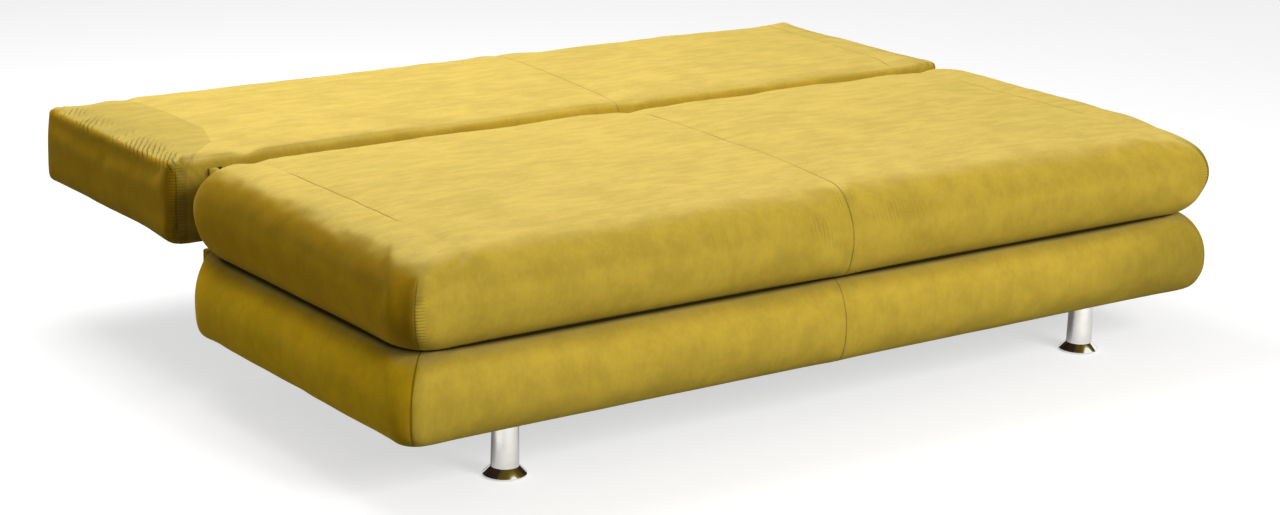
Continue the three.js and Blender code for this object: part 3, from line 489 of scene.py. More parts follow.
def cut(piece, *cutters):
    """Takes the cutters out of the piece, and removes them."""
    for cutter in cutters:
        modifier = piece.modifiers.new("cut", "BOOLEAN")
        modifier.operation = "DIFFERENCE"
        modifier.solver = "EXACT"
        modifier.object = cutter
    graph = bpy.context.evaluated_depsgraph_get()
    rest = bpy.data.meshes.new_from_object(piece.evaluated_get(graph))
    piece.modifiers.clear()
    if not rest.polygons:
        raise RuntimeError(f"nothing is left of {piece.name} after the cut")
    piece.data = rest
    for cutter in cutters:
        bpy.data.objects.remove(cutter)


# Materials

def new_material(name):
    """A material and its shader."""
    material = bpy.data.materials.new(name)
    material.use_nodes = True
    return material, material.node_tree.nodes["Principled BSDF"]


def node(material, kind, **values):
    """A node of a material, with its named properties and sockets set."""
    made = material.node_tree.nodes.new(kind)
    for name, value in values.items():
        if name in made.inputs:
            made.inputs[name].default_value = value
        else:
            setattr(made, name, value)
    return made


def feed(material, value, socket):
    """Sets a socket to a number or a colour, or links another socket to it."""
    if isinstance(value, tuple):
        socket.default_value = (*value, 1)
    elif isinstance(value, (int, float)):
        socket.default_value = value
    else:
        material.node_tree.links.new(value, socket)


def arithmetic(material, operation, *values):
    """A Math node, each value a socket or a number."""
    made = node(material, "ShaderNodeMath", operation=operation)
    for socket, value in zip(made.inputs, values):
        feed(material, value, socket)
    return made.outputs[0]


def product(material, *values):
    """The values multiplied, from the first to the last."""
    total = values[0]
    for value in values[1:]:
        total = arithmetic(material, "MULTIPLY", total, value)
    return total


def noise(material, place, scale, detail=3.0, roughness=0.55, stretch=(1, 1, 1)):
    """Noise on object coordinates, stretched along the axes."""
    mapping = node(material, "ShaderNodeMapping", Scale=stretch)
    feed(material, place, mapping.inputs["Vector"])
    made = node(material, "ShaderNodeTexNoise", Scale=scale, Detail=detail, Roughness=roughness)
    feed(material, mapping.outputs[0], made.inputs["Vector"])
    return made.outputs["Fac"]


def between(material, share, low, high, low_value=0.0, high_value=1.0):
    """A value that goes smoothly from low_value, at low, to high_value, at high."""
    made = node(material, "ShaderNodeMapRange", interpolation_type="SMOOTHSTEP")
    sockets = ("Value", "From Min", "From Max", "To Min", "To Max")
    for name, value in zip(sockets, (share, low, high, low_value, high_value)):
        feed(material, value, made.inputs[name])
    return made.outputs["Result"]


def mix_values(material, share, first, second):
    """From the first value to the second by a share."""
    made = node(material, "ShaderNodeMix", data_type="FLOAT")
    for number, value in ((0, share), (2, first), (3, second)):
        feed(material, value, made.inputs[number])
    return made.outputs[0]


def mix_colours(material, share, first, second, blend="MIX"):
    """From the first colour to the second by a share, or blended in another of the node's ways."""
    made = node(material, "ShaderNodeMix", data_type="RGBA", blend_type=blend)
    for number, value in ((0, share), (6, first), (7, second)):
        feed(material, value, made.inputs[number])
    return made.outputs[2]


def bump(material, height, strength, distance, normal=None):
    """The normal of a fine relief, over that of a coarser one where it is given."""
    made = node(material, "ShaderNodeBump", Strength=strength, Distance=distance)
    feed(material, height, made.inputs["Height"])
    if normal is not None:
        feed(material, normal, made.inputs["Normal"])
    return made.outputs["Normal"]


def lean(material, place, direction, offset):
    """The distance of a place from a plane: its product with a direction, plus an offset."""
    made = node(material, "ShaderNodeVectorMath", operation="DOT_PRODUCT")
    feed(material, place, made.inputs[0])
    made.inputs[1].default_value = direction
    return arithmetic(material, "ADD", made.outputs["Value"], offset)


def mirrored(material, place):
    """The place with x replaced by its distance from the middle."""
    split = node(material, "ShaderNodeSeparateXYZ")
    feed(material, place, split.inputs[0])
    whole = node(material, "ShaderNodeCombineXYZ")
    feed(material, arithmetic(material, "ABSOLUTE", split.outputs["X"]), whole.inputs["X"])
    for axis in ("Y", "Z"):
        feed(material, split.outputs[axis], whole.inputs[axis])
    return whole.outputs[0]


def within(material, place, limits):
    """1 inside all the limits and 0 outside, with soft ends. A limit is (direction, low, high, soft)."""
    inside = 1.0
    for direction, low, high, soft in limits:
        value = lean(material, place, direction, 0.0)
        above = between(material, value, low - soft, low)
        below = between(material, value, high, high + soft, 1.0, 0.0)
        inside = product(material, inside, product(material, above, below))
    return inside


def seam_line(material, place, seam):
    """A thin line where a plane cuts the surface. A seam is (direction, offset, width, limits)."""
    direction, offset, width, limits = seam
    distance = arithmetic(material, "ABSOLUTE", lean(material, place, direction, offset))
    line = between(material, distance, width * 0.2, width, 1.0, 0.0)
    return product(material, line, within(material, place, limits))


ALONG_X, ALONG_Y, ALONG_Z = (1, 0, 0), (0, 1, 0), (0, 0, 1)
ROUND_CORNER = (math.sqrt(0.5), math.sqrt(0.5), 0)


def weighted(material, *parts):
    """The sum of values, each with its weight."""
    total = 0.0
    for value, weight in parts:
        total = arithmetic(material, "MULTIPLY_ADD", value, weight, total)
    return total


def finish(material, shader, colour, roughness, normal):
    """Gives a shader its colour, roughness and normal, each a socket, a number or a colour."""
    for name, value in (("Base Color", colour), ("Roughness", roughness), ("Normal", normal)):
        feed(material, value, shader.inputs[name])


def velvet(name, seams=(), mirrored_seams=(), puckers=(), painted_end_colour=VELVET_PAINTED_END_SHADE, cap=False, folds=None):
    """Crushed velvet: a mottled nap of soft patches, streaks and threads over a fine pile.

    The nap lies one way where the cloth faces up, with streaks along X, and another elsewhere. Its
    colour is paler where the cloth faces up and of another tone on the sewn end panels: painted light
    and shade by the way each part faces. Seams are thin dark grooves, puckers fine ribs across a seam,
    and painted shade darkens the crease between the pads and the other places that each piece marks.
    The cap is the end piece of the back, and folds are small creases drawn by a function of their
    own, shaped by a bump and darkened by painted shade.
    """
    material, shader = new_material(name)
    place = node(material, "ShaderNodeTexCoord").outputs["Object"]
    folded = mirrored(material, place)
    up = node(material, "ShaderNodeAttribute", attribute_name="painted_top_light").outputs["Fac"]
    end = node(material, "ShaderNodeAttribute", attribute_name="painted_end_shading").outputs["Fac"]
    patches = noise(material, place, 8.0, 4, 0.6)
    streaks = noise(material, place, 30, 6, 0.68, (0.42, 1.4, 1.0))
    brushed = noise(material, place, 20, 7, 0.74, (1.0, 1.0, 0.85))
    threads = noise(material, place, 170, 3, 0.6, (1.0, 0.8, 0.10))
    pile = noise(material, place, 700, 2, 0.5)
    lying = weighted(material, (brushed, 0.8), (threads, 0.2))
    strokes = mix_values(material, up, lying, weighted(material, (streaks, 0.8), (threads, 0.2)))
    mottle = weighted(material, (patches, 0.3), (strokes, 0.7))
    # Painted light and shade: paler where the cloth faces up, and the end colour on the sewn end panels.
    colour = mix_colours(material, end, mix_colours(material, up, VELVET, VELVET_PAINTED_TOP_LIGHT), painted_end_colour)
    tone = between(material, mottle, 0.39, 0.61, 0.85, 1.03)
    colour = mix_colours(material, 1.0, colour, tone, "MULTIPLY")
    lines, ribs = 0.0, 0.0
    for seam in seams:
        lines = arithmetic(material, "MAXIMUM", lines, seam_line(material, place, seam))
    for seam in mirrored_seams:
        lines = arithmetic(material, "MAXIMUM", lines, seam_line(material, folded, seam))
    for limits in puckers:
        across = arithmetic(material, "SINE", lean(material, folded, (0, 0, 1050), 0.0))
        ribs = arithmetic(material, "ADD", ribs, product(material, across, within(material, folded, limits)))
    if cap:
        tinted = mix_colours(material, 1.0, colour, CAP_TINT, "MULTIPLY")
        colour = mix_colours(material, cap_share(material, place), colour, tinted)
    if seams or mirrored_seams:
        shown = between(material, noise(material, place, 5, 2, 0.5), 0.38, 0.62, 0.16, 0.62)
        colour = mix_colours(material, product(material, lines, shown), colour, SEAM_AND_FOLD_SHADE_COLOUR)
    # Painted shade, as much as each piece marks under the name crease.
    deep = node(material, "ShaderNodeAttribute", attribute_name="crease").outputs["Fac"]
    colour = mix_colours(material, deep, colour, PAINTED_SHADE_COLOUR)
    # Painted shade in the small folds, a share of the seams' dark colour.
    if folds:
        folded_in = folds(material, place)
        colour = mix_colours(material, product(material, folded_in, 0.22), colour, SEAM_AND_FOLD_SHADE_COLOUR)
    napped = bump(material, strokes, 0.25, 0.004)
    furry = bump(material, pile, 0.2, 0.0006, napped)
    if folds:
        furry = bump(material, product(material, folded_in, -1.0), 1.0, 0.004, furry)
    stitched = weighted(material, (ribs, 0.28), (lines, -1.0))
    finish(material, shader, colour, 0.9, bump(material, stitched, 1.0, 0.0012, furry))
    shader.inputs["Specular IOR Level"].default_value = 0.1
    shader.inputs["Sheen Weight"].default_value = 0.20
    shader.inputs["Sheen Roughness"].default_value = 0.4
    shader.inputs["Sheen Tint"].default_value = (*VELVET_SHEEN, 1)
    return material


def creases(material, place, direction, drift, scale):
    """Thin lines, 1 in their middle, square to a direction whose length is pi over their spacing."""
    wander = arithmetic(material, "SUBTRACT", noise(material, place, scale, 3, 0.6), 0.5)
    wave = arithmetic(material, "SINE", arithmetic(
        material, "MULTIPLY_ADD", wander, drift, lean(material, place, direction, 0.0)))
    return between(material, arithmetic(material, "ABSOLUTE", wave), 0.0, 0.6, 1.0, 0.0)


def gathers(material, place):
    """The small slanting folds over the top edge of the back's ends, in clusters.

    The way in from the edge grows over the top as x falls, and it falls down the end with z, so
    z - x runs over the edge without a break.
    """
    folded = mirrored(material, place)
    over_edge = lean(material, folded, (-1, 0, 1), BACK_HIGH.x - (BACK_HIGH.z - BACK_CROWN))
    along = lean(material, place, ALONG_Y, 0.0)
    lines = creases(material, folded, (-0.71 * 230, -0.70 * 230, 0.71 * 230), 7.0, 9)
    clusters = between(material, noise(material, place, 16, 2, 0.5, (0.4, 1, 0.4)), 0.42, 0.60)
    near_front = between(material, along, BACK_LOW.y + 0.02, BACK_LOW.y + 0.16, 1.0, 0.0)
    on_top = between(material, along, BACK_LOW.y + 0.006, BACK_LOW.y + 0.014)
    clusters = arithmetic(material, "MAXIMUM", clusters, near_front)
    past_edge = between(material, over_edge, -0.018, 0.002)
    fading = between(material, over_edge, 0.020, 0.090, 1.0, 0.0)
    return product(material, lines, clusters, on_top, past_edge, fading)


def seam_fan(material, place):
    """The fine upright creases of the seat's front, on both sides of its middle seam."""
    lines = creases(material, place, (330, 0, 30), 16.0, 7)
    around = within(material, place, [
        (ALONG_X, -0.06, 0.14, 0.09), (ALONG_Y, -1.0, -0.660, 0.020), (ALONG_Z, 0.370, 0.432, 0.030)])
    uneven = between(material, noise(material, place, 12, 2, 0.5), 0.40, 0.65, 0.0, 0.30)
    return product(material, lines, around, uneven)


def cap_share(material, place):
    """1 on the back's end piece, which lies left of its seam.

    The seam runs straight back behind CAP_TOP_Y and slants outwards in front of it, as far as a
    corner, from which a second seam slants to the front left corner of the back.
    """
    inward = lean(material, place, (1, -CAP_SLOPE, 0), CAP_SLOPE * CAP_TOP_Y - BACK_CAP_SEAM)
    straight = lean(material, place, ALONG_X, -BACK_CAP_SEAM)
    outermost = arithmetic(material, "MAXIMUM", inward, straight)
    left = between(material, outermost, -CAP_EDGE, CAP_EDGE, 1.0, 0.0)
    behind = lean(material, place, (-CORNER_SLOPE, 1, 0), CORNER_SLOPE * CAP_CORNER_X - CAP_CORNER_Y)
    return product(material, left, between(material, behind, -CAP_EDGE, CAP_EDGE))


def metal(name, colour, roughness, scratch_scale=90, scratch=0.05):
    """Metal with fine rolling marks and a little dullness in patches."""
    material, shader = new_material(name)
    place = node(material, "ShaderNodeTexCoord").outputs["Object"]
    marks = noise(material, place, scratch_scale, 3, 0.6, (1, 1, 6))
    dull = noise(material, place, 12, 3, 0.6)
    darker = tuple(0.82 * c for c in colour)
    dulled = mix_colours(material, between(material, dull, 0.35, 0.7), colour, darker)
    scratched = between(material, marks, 0.3, 0.7, roughness - scratch, roughness + scratch)
    finish(material, shader, dulled, scratched, bump(material, marks, 0.08, 0.0003))
    shader.inputs["Metallic"].default_value = 1.0
    return material


def timber(name, light, dark, along="X", scale=14):
    """Sawn softwood: long bands of grain along one axis."""
    material, shader = new_material(name)
    place = node(material, "ShaderNodeTexCoord").outputs["Object"]
    stretch = {"X": (0.06, 1, 1), "Y": (1, 0.06, 1)}[along]
    grain = noise(material, place, scale * 4, 5, 0.65, stretch)
    bands = noise(material, place, scale, 2, 0.5, stretch)
    share = between(material, weighted(material, (grain, 0.5), (bands, 0.5)), 0.38, 0.62)
    grained = mix_colours(material, share, light, dark)
    finish(material, shader, grained, 0.75, bump(material, grain, 0.3, 0.0006))
    return material


def pressed_board(name, light, dark, chip_scale):
    """Board of pressed chips or fibres."""
    material, shader = new_material(name)
    place = node(material, "ShaderNodeTexCoord").outputs["Object"]
    chips = node(material, "ShaderNodeTexVoronoi", Scale=chip_scale)
    feed(material, place, chips.inputs["Vector"])
    fine = noise(material, place, chip_scale * 3, 4, 0.6)
    share = weighted(material, (chips.outputs["Distance"], 0.6), (fine, 0.6))
    chipped = mix_colours(material, between(material, share, 0.3, 0.75), light, dark)
    finish(material, shader, chipped, 0.85, bump(material, fine, 0.25, 0.0005))
    return material


def cloth_like(name, colour, second, thread):
    """Woven or bonded cloth: crossed threads of a given spacing."""
    material, shader = new_material(name)
    place = node(material, "ShaderNodeTexCoord").outputs["Object"]
    height = 0.0
    for axis in ("X", "Y"):
        wave = node(material, "ShaderNodeTexWave", bands_direction=axis, Scale=0.314 / thread, Distortion=0.6)
        feed(material, place, wave.inputs["Vector"])
        height = arithmetic(material, "MAXIMUM", height, wave.outputs["Fac"])
    worn = between(material, noise(material, place, 9, 3, 0.6), 0.35, 0.7)
    woven = mix_colours(material, worn, colour, second)
    finish(material, shader, woven, 0.95, bump(material, height, 0.4, 0.0004))
    return material


def plastic(name, colour):
    """Moulded plastic with a faint grain."""
    material, shader = new_material(name)
    place = node(material, "ShaderNodeTexCoord").outputs["Object"]
    grain = noise(material, place, 300, 2, 0.5)
    speckled = mix_colours(material, grain, colour, tuple(1.5 * c for c in colour))
    finish(material, shader, speckled, 0.55, bump(material, grain, 0.15, 0.0003))
    return material


def upright(seam, width, limits):
    """The row for seam_line of an upright seam (slope, place)."""
    slope, place = seam
    return (1, -slope, 0), -place, width, limits


CORNER_OFFSET = -(CREASE_X + CREASE_FRONT) * math.sqrt(0.5) + SEAM_TURN
CORNER_REGION = (ALONG_X, CREASE_X - 0.030, 2.0, 0.008)
CORNER_FRONT = (ALONG_Y, -1.0, CREASE_FRONT + 0.030, 0.008)
SEAT_SEAMS = [
    upright(SEAT_MIDDLE, 0.0022, [(ALONG_Z, CREASE_Z, 1.0, 0.001), (ALONG_Y, -1.0, -0.020, 0.060)]),
]
SEAT_MIRRORED_SEAMS = [
    (ROUND_CORNER, CORNER_OFFSET, 0.0028, [CORNER_REGION, CORNER_FRONT, (ALONG_Z, CREASE_Z, 0.410, 0.020)]),
    (ALONG_X, -SEAT_END_SEAM, 0.0020, [(ALONG_Y, -0.450, -0.095, 0.050), (ALONG_Z, 0.440, 1.0, 0.001)]),
]
PUCKERED = [
    [(ROUND_CORNER, -CORNER_OFFSET - 0.014, -CORNER_OFFSET - 0.002, 0.006), CORNER_REGION, CORNER_FRONT,
     (ALONG_Z, 0.298, 0.390, 0.015)],
]
BASE_SEAMS = [upright(BASE_MIDDLE, 0.0018, [(ALONG_Y, -1.0, CREASE_FRONT, 0.004)])]
BASE_MIRRORED_SEAMS = [
    (ROUND_CORNER, CORNER_OFFSET - BASE_SEAM_TURN, 0.0028,
     [CORNER_REGION, CORNER_FRONT, (ALONG_Z, 0.130, CREASE_Z, 0.010)]),
]
BACK_FRONT_FACE = BACK_LOW.y + 0.012
BACK_SEAMS = [
    upright(BACK_MIDDLE, 0.0018, [(ALONG_Z, 0.300, 1.0, 0.001)]),
    upright(BACK_RIGHT, 0.0018, [(ALONG_Z, 0.300, 1.0, 0.001), (ALONG_Y, 0.200, 0.690, 0.050)]),
    upright(BACK_LEFT_END, 0.0022,
            [(ALONG_Y, -1.0, BACK_FRONT_FACE, 0.002), (ALONG_Z, 0.310, 0.446, 0.004)]),
]
BACK_PUCKERED = [
    [(ALONG_X, 0.962, 0.990, 0.010), (ALONG_Y, -1.0, BACK_FRONT_FACE, 0.004),
     (ALONG_Z, 0.300, 0.440, 0.010)],
]

PLAIN_VELVET = velvet("velvet")
SEAT_VELVET = velvet("velvet_seat", SEAT_SEAMS, SEAT_MIRRORED_SEAMS, PUCKERED, folds=seam_fan)
BASE_VELVET = velvet("velvet_base", BASE_SEAMS, BASE_MIRRORED_SEAMS, painted_end_colour=VELVET_PAINTED_LIT_END)
BACK_VELVET = velvet("velvet_back", BACK_SEAMS, (), BACK_PUCKERED, cap=True, folds=gathers)
CHROME = metal("chrome", (0.92, 0.92, 0.89), 0.06, 60, 0.012)
BLACK_STEEL = metal("black_steel", (0.03, 0.03, 0.03), 0.45)
SPRING_STEEL = metal("spring_steel", (0.20, 0.20, 0.21), 0.42)
PINE_ALONG = timber("pine_lengthways", *PINE, "X")
PINE_ACROSS = timber("pine_crossways", *PINE, "Y")
CHIPBOARD = pressed_board("chipboard", (0.56, 0.42, 0.25), (0.36, 0.25, 0.13), 160)
HARDBOARD = pressed_board("hardboard", (0.27, 0.16, 0.085), (0.20, 0.115, 0.06), 420)
DUST_CLOTH = cloth_like("dust_cloth", (0.028, 0.027, 0.026), (0.045, 0.043, 0.041), 0.0016)
WEBBING = cloth_like("webbing", (0.66, 0.61, 0.50), (0.55, 0.50, 0.40), 0.0024)
GLIDE_PLASTIC = plastic("glide_plastic", (0.016, 0.016, 0.016))


# Pads

def hollow_levels(hollow, bottom):
    """The levels of a pad's hollow, from its ceiling down its wall to the underside of the pad.

    A hollow is (half_x, front_y, rear_y, ceiling). Two levels lie close to each edge to keep it crisp.
    """
    half_x, front_y, rear_y, ceiling = hollow
    edge = HOLLOW_CORNER
    rows = [(-edge, ceiling), (0, ceiling), (0, ceiling - edge), (0, (ceiling + bottom) / 2),
            (0, bottom + edge), (0, bottom), (edge, bottom)]
    return [
        (half_x + out, front_y - out, rear_y + out, 2 * edge + out, 2 * edge + out, z, 0)
        for out, z in rows
    ]


def rim_levels(inner, outer, steps):
    """Levels spread evenly between the hollow's edge and the foot of the pad's side."""
    shares = np.linspace(0, 1, steps)[1:-1, None]
    return [tuple(level) for level in np.array(inner) + (np.array(outer) - np.array(inner)) * shares]


def draw_in(z, bottom, top):
    """How far a pad's sides pull in between its corners: a sine of the height."""
    return SIDE_DRAW_IN * math.sin(math.pi * min(max((z - bottom) / (top - bottom), 0), 1))


def seat_level(offset, z):
    """The seat's outline at an offset out from its crease, with corners that tighten as it bulges."""
    return (
        CREASE_X + offset, CREASE_FRONT - offset, CREASE_REAR + offset,
        SEAT_FRONT_CORNER + FRONT_CORNER_SHARE * offset, SEAT_REAR_CORNER + REAR_CORNER_SHARE * offset,
        z, draw_in(z, SEAT_LOW.z, SEAT_HIGH.z),
    )


def seat_pad():
    """The seat: a thick pillow over the hollow for its frame."""
    bottom = SEAT_LOW.z - UNDER_GAP
    top = SEAT_HIGH.z - SEAT_CROWN - TOP_SWELL
    bulge = PAD_BULGE - SEAT_TUCK - SWELL
    profile = pillow_profile(bottom, top, (bottom + top) / 2, bulge, SEAT_SHOULDER, 28)
    hollow = (BRACKET_HIGH.x + HOLLOW_ROOM, SEAT_RAIL_LOW.y - TIGHT_ROOM, SEAT_RAIL_HIGH.y + HOLLOW_ROOM,
              SPRINGS_HIGH.z + HOLLOW_ROOM)
    under = hollow_levels(hollow, bottom)
    outside = [seat_level(-CREASE_DEPTH, bottom)] + [seat_level(offset, z) for offset, z in profile]
    levels = under + rim_levels(under[-1], outside[0], 4) + outside
    x_shares = graded(96, (0, 0.04, 0.497, 0.96, 1))
    y_shares = graded(44, (0, 1), 0.05, 2)
    points, faces = pillow(levels, x_shares, y_shares, 8, SEAT_CROWN)
    piece = make_object("seat_pad", points, faces, SEAT_VELVET)
    simulate(piece, seat_hold(points), 4.0, 0.008)
    subdivide(piece)
    relief(piece, seat_relief)
    return piece


def corner_distance(points):
    """How far a point is round the corner from the sewn corner, on either side of the middle."""
    return (np.abs(points[:, 0]) + points[:, 1]) * math.sqrt(0.5) + CORNER_OFFSET


def across_seam(points, seam):
    """How far a point lies to the right of an upright seam (slope, place)."""
    slope, place = seam
    return points[:, 0] - slope * points[:, 1] - place


def loosely(distance):
    """A loose hold along a seam: half at the seam, falling as a bell curve beside it."""
    return 0.5 * bell(distance, 0.008)


def near_corner(points, reach=0.040):
    """1 at the two front corners and 0 farther from them than the reach."""
    beside = ramp(np.abs(points[:, 0]), CREASE_X - reach, CREASE_X - 0.020)
    return beside * ramp(-points[:, 1], -CREASE_FRONT - reach, -CREASE_FRONT - 0.020)


def hidden(points, bottom, ceiling):
    """Whether a point lies on the underside of a pad or in its hollow."""
    return (points[:, 2] < bottom + TOUCH) | ((points[:, 2] < ceiling + 0.02) & (outward(points) < -0.008))


def outward(points):
    """The distance out from the crease, negative inside it: that of a rounded rectangle."""
    corner = SEAT_FRONT_CORNER
    middle = (CREASE_FRONT + CREASE_REAR) / 2
    across = np.abs(points[:, 0]) - CREASE_X + corner
    along = np.abs(points[:, 1] - middle) - (CREASE_REAR - CREASE_FRONT) / 2 + corner
    outside = np.hypot(np.maximum(across, 0), np.maximum(along, 0))
    return outside + np.minimum(np.maximum(across, along), 0) - corner


def seat_hold(points):
    """What the seat's cloth is held by: its underside, its sewn corners and, loosely, its other seams."""
    corner = bell(corner_distance(points), 0.007) * near_corner(points) * (1 - ramp(points[:, 2], 0.39, 0.43))
    middle = loosely(across_seam(points, SEAT_MIDDLE))
    ends = loosely(np.abs(points[:, 0]) - SEAT_END_SEAM) * (points[:, 2] > 0.44)
    loose = np.maximum(np.maximum(corner, middle), ends)
    return np.where(hidden(points, SEAT_LOW.z, SPRINGS_HIGH.z), 1.0, loose)


def relief(piece, amount):
    """Moves the points of a piece along their normals."""
    points = coordinates(piece)
    set_coordinates(piece, points + normals(piece) * amount(points)[:, None])


def seat_relief(points):
    """Long waves, short dents, a fuller right end, valleys at the sewn corners and grooves at the seams."""
    free = ramp(points[:, 2], SEAT_LOW.z, SEAT_LOW.z + 0.02)
    free = np.where(hidden(points, SEAT_LOW.z, SPRINGS_HIGH.z), 0, free)
    below = 1 - ramp(points[:, 2], 0.39, 0.44)
    corner = near_corner(points) * below
    beside = near_corner(points, 0.160) * below
    round_corner = corner_distance(points)
    middle = across_seam(points, SEAT_MIDDLE)
    end = np.abs(points[:, 0]) - SEAT_END_SEAM
    on_top = ramp(points[:, 2], 0.42, 0.45)
    waves = 0.0016 * field(points, 3, 0.30) + 0.0006 * field(points, 4, 0.10, 24, (1, 1, 0.5))
    waves = waves + seat_right_end(points)
    shoulder = bell(points[:, 2] - 0.435, 0.030)
    dents = 0.0006 * shoulder * field(points, 5, 0.030, 32, (1.0, 0.6, 0.3))
    seams = 0.0025 * beside * bell(round_corner - 0.024, 0.020) + 0.0018 * corner * bell(round_corner, 0.0045)
    seams = seams + 0.0010 * bell(middle, 0.0050) + 0.0008 * on_top * bell(end, 0.0045)
    return free * (waves + dents - seams)


def seat_right_end(points):
    """How much fuller the right end is at its shoulder and its waist, and how its front corner sags."""
    right = ramp(points[:, 0], 0.80, 0.92)
    front = ramp(-points[:, 1], 0.50, 0.64)
    shoulder = 0.006 * right * bell(points[:, 2] - 0.445, 0.022) * (1 - front)
    waist = 0.006 * ramp(points[:, 0], 0.93, 0.98) * bell(points[:, 2] - 0.375, 0.045)
    return shoulder + waist - 0.006 * right * front * ramp(points[:, 2], 0.41, 0.45)


def joined(arcs, shares):
    """The path along the arcs, with a straight stretch from each to the next, divided at its shares."""
    pieces = [arcs[0]]
    for before, after, along in zip(arcs, arcs[1:], shares):
        pieces.append(before[-1] + (after[0] - before[-1]) * along[1:-1, None])
        pieces.append(after)
    return np.concatenate(pieces)


def roll_path(half_x, front_y, rear_y, front_radius, rear_radius, shares, arc_steps):
    """The roll's outer path, from its rear left end round the front to its rear right end."""
    rear_centre, front_centre = rear_y - rear_radius, front_y + front_radius
    left, right = rear_radius - half_x, half_x - rear_radius
    return joined([
        arc((left, rear_centre), rear_radius, 1, 2, arc_steps),
        arc((front_radius - half_x, front_centre), front_radius, 2, 3, 2 * arc_steps),
        arc((half_x - front_radius, front_centre), front_radius, 3, 4, 2 * arc_steps),
        arc((right, rear_centre), rear_radius, 0, 1, arc_steps),
    ], shares)


def inner_path(half_x, front_y, rear_y, corner, shares, arc_steps, arc_length):
    """The roll's inner path beside the box, point for point with the outer one."""
    step = np.linspace(0, arc_length, arc_steps)
    left = np.stack([np.full(arc_steps, -half_x), rear_y - step], axis=1)
    return joined([
        left,
        arc((corner - half_x, front_y + corner), corner, 2, 3, 2 * arc_steps),
        arc((half_x - corner, front_y + corner), corner, 3, 4, 2 * arc_steps),
        left[::-1] * (-1, 1),
    ], shares)


def base_roll():
    """The roll round the front and both ends of the box, with the box's walls as its inside."""
    bottom, top = BASE_LOW.z, BASE_HIGH.z
    profile = pillow_profile(
        bottom, top, (bottom + top) / 2, PAD_BULGE - SWELL, PAD_BULGE - SWELL, 22, BASE_FULLNESS)
    profile = np.concatenate([[(-CREASE_DEPTH, bottom)], profile, [(-CREASE_DEPTH, top)]])
    shares = [graded(34, (0, 1), 0.05, 2), graded(96, (0, 0.493, 1)), graded(34, (0, 1), 0.05, 2)]
    inner_x, inner_front = BOX_SIDE_HIGH.x + UNDER_GAP * 4, BOX_FRONT_LOW.y - UNDER_GAP * 4
    outer, inner = [], []
    for offset, z in profile:
        height = (z - bottom) / (top - bottom)
        corner = BASE_FOOT_CORNER + (SEAT_FRONT_CORNER - BASE_FOOT_CORNER) * height
        outer.append(lift(roll_path(
            CREASE_X + offset, CREASE_FRONT - offset, BASE_HIGH.y,
            corner, BASE_REAR_CORNER + offset, shares, ARC_STEPS), z))
        inner.append(lift(inner_path(
            inner_x, inner_front, BASE_HIGH.y, BOX_CORNER, shares, ARC_STEPS, INNER_REACH), z))
    points, faces = band(np.stack(outer), np.stack(inner), 4)
    piece = make_object("base_roll", points, faces, BASE_VELVET)
    simulate(piece, base_hold(points), 4.0, 0.007)
    subdivide(piece)
    relief(piece, base_relief)
    return piece


def base_hold(points):
    """What the roll's cloth is held by: the box, its foot, its rear ends, its corners and a loose seam."""
    flat = (points[:, 2] < BASE_LOW.z + TOUCH) | (points[:, 2] > BASE_HIGH.z - TOUCH)
    inside = outward(points) < -0.004
    rear = points[:, 1] > BASE_HIGH.y - TOUCH
    corner = bell(corner_distance(points) - BASE_SEAM_TURN, 0.007) * near_corner(points)
    middle = loosely(across_seam(points, BASE_MIDDLE))
    return np.where(flat | inside | rear, 1.0, np.maximum(corner, middle))


def base_relief(points):
    """Long and short waves, a fuller left end, valleys at the sewn corners and a middle groove."""
    height = (points[:, 2] - BASE_LOW.z) / (BASE_HIGH.z - BASE_LOW.z)
    free = ramp(outward(points), 0.0, 0.02) * ramp(height, 0, 0.15) * ramp(1 - height, 0, 0.15)
    free = free * ramp(BASE_HIGH.y - points[:, 1], 0, 0.03)
    waves = 0.0016 * field(points, 13, 0.28) + 0.0007 * field(points, 14, 0.09, 24, (1, 1, 0.5))
    round_corner = corner_distance(points) - BASE_SEAM_TURN
    seams = near_corner(points) * (0.0012 * bell(round_corner, 0.016) + 0.0015 * bell(round_corner, 0.0045))
    fuller = 0.0035 * ramp(-points[:, 0], 0.92, 0.97) * bell(height - 0.12, 0.22)
    fuller = fuller + 0.002 * ramp(-points[:, 0], 0.94, 0.98) * bell(height - 0.5, 0.3)
    return free * (waves + fuller - seams - 0.0008 * bell(across_seam(points, BASE_MIDDLE), 0.005))


def back_level(offset, z):
    """The back's outline at an offset out from its sides, drawn in farther at the feet of its ends."""
    corner = max(BACK_CORNER + offset, SMALLEST_CORNER)
    foot = min(offset, 0) if z < (BACK_LOW.z + BACK_HIGH.z) / 2 else 0
    reach = BACK_HIGH.x - BACK_SWELL + offset + (END_FOOT_SHARE - 1) * foot
    front, rear = BACK_LOW.y + BACK_SWELL - offset, BACK_HIGH.y - BACK_SWELL + offset
    return (reach, front, rear, corner, corner, z, draw_in(z, BACK_LOW.z, BACK_HIGH.z))


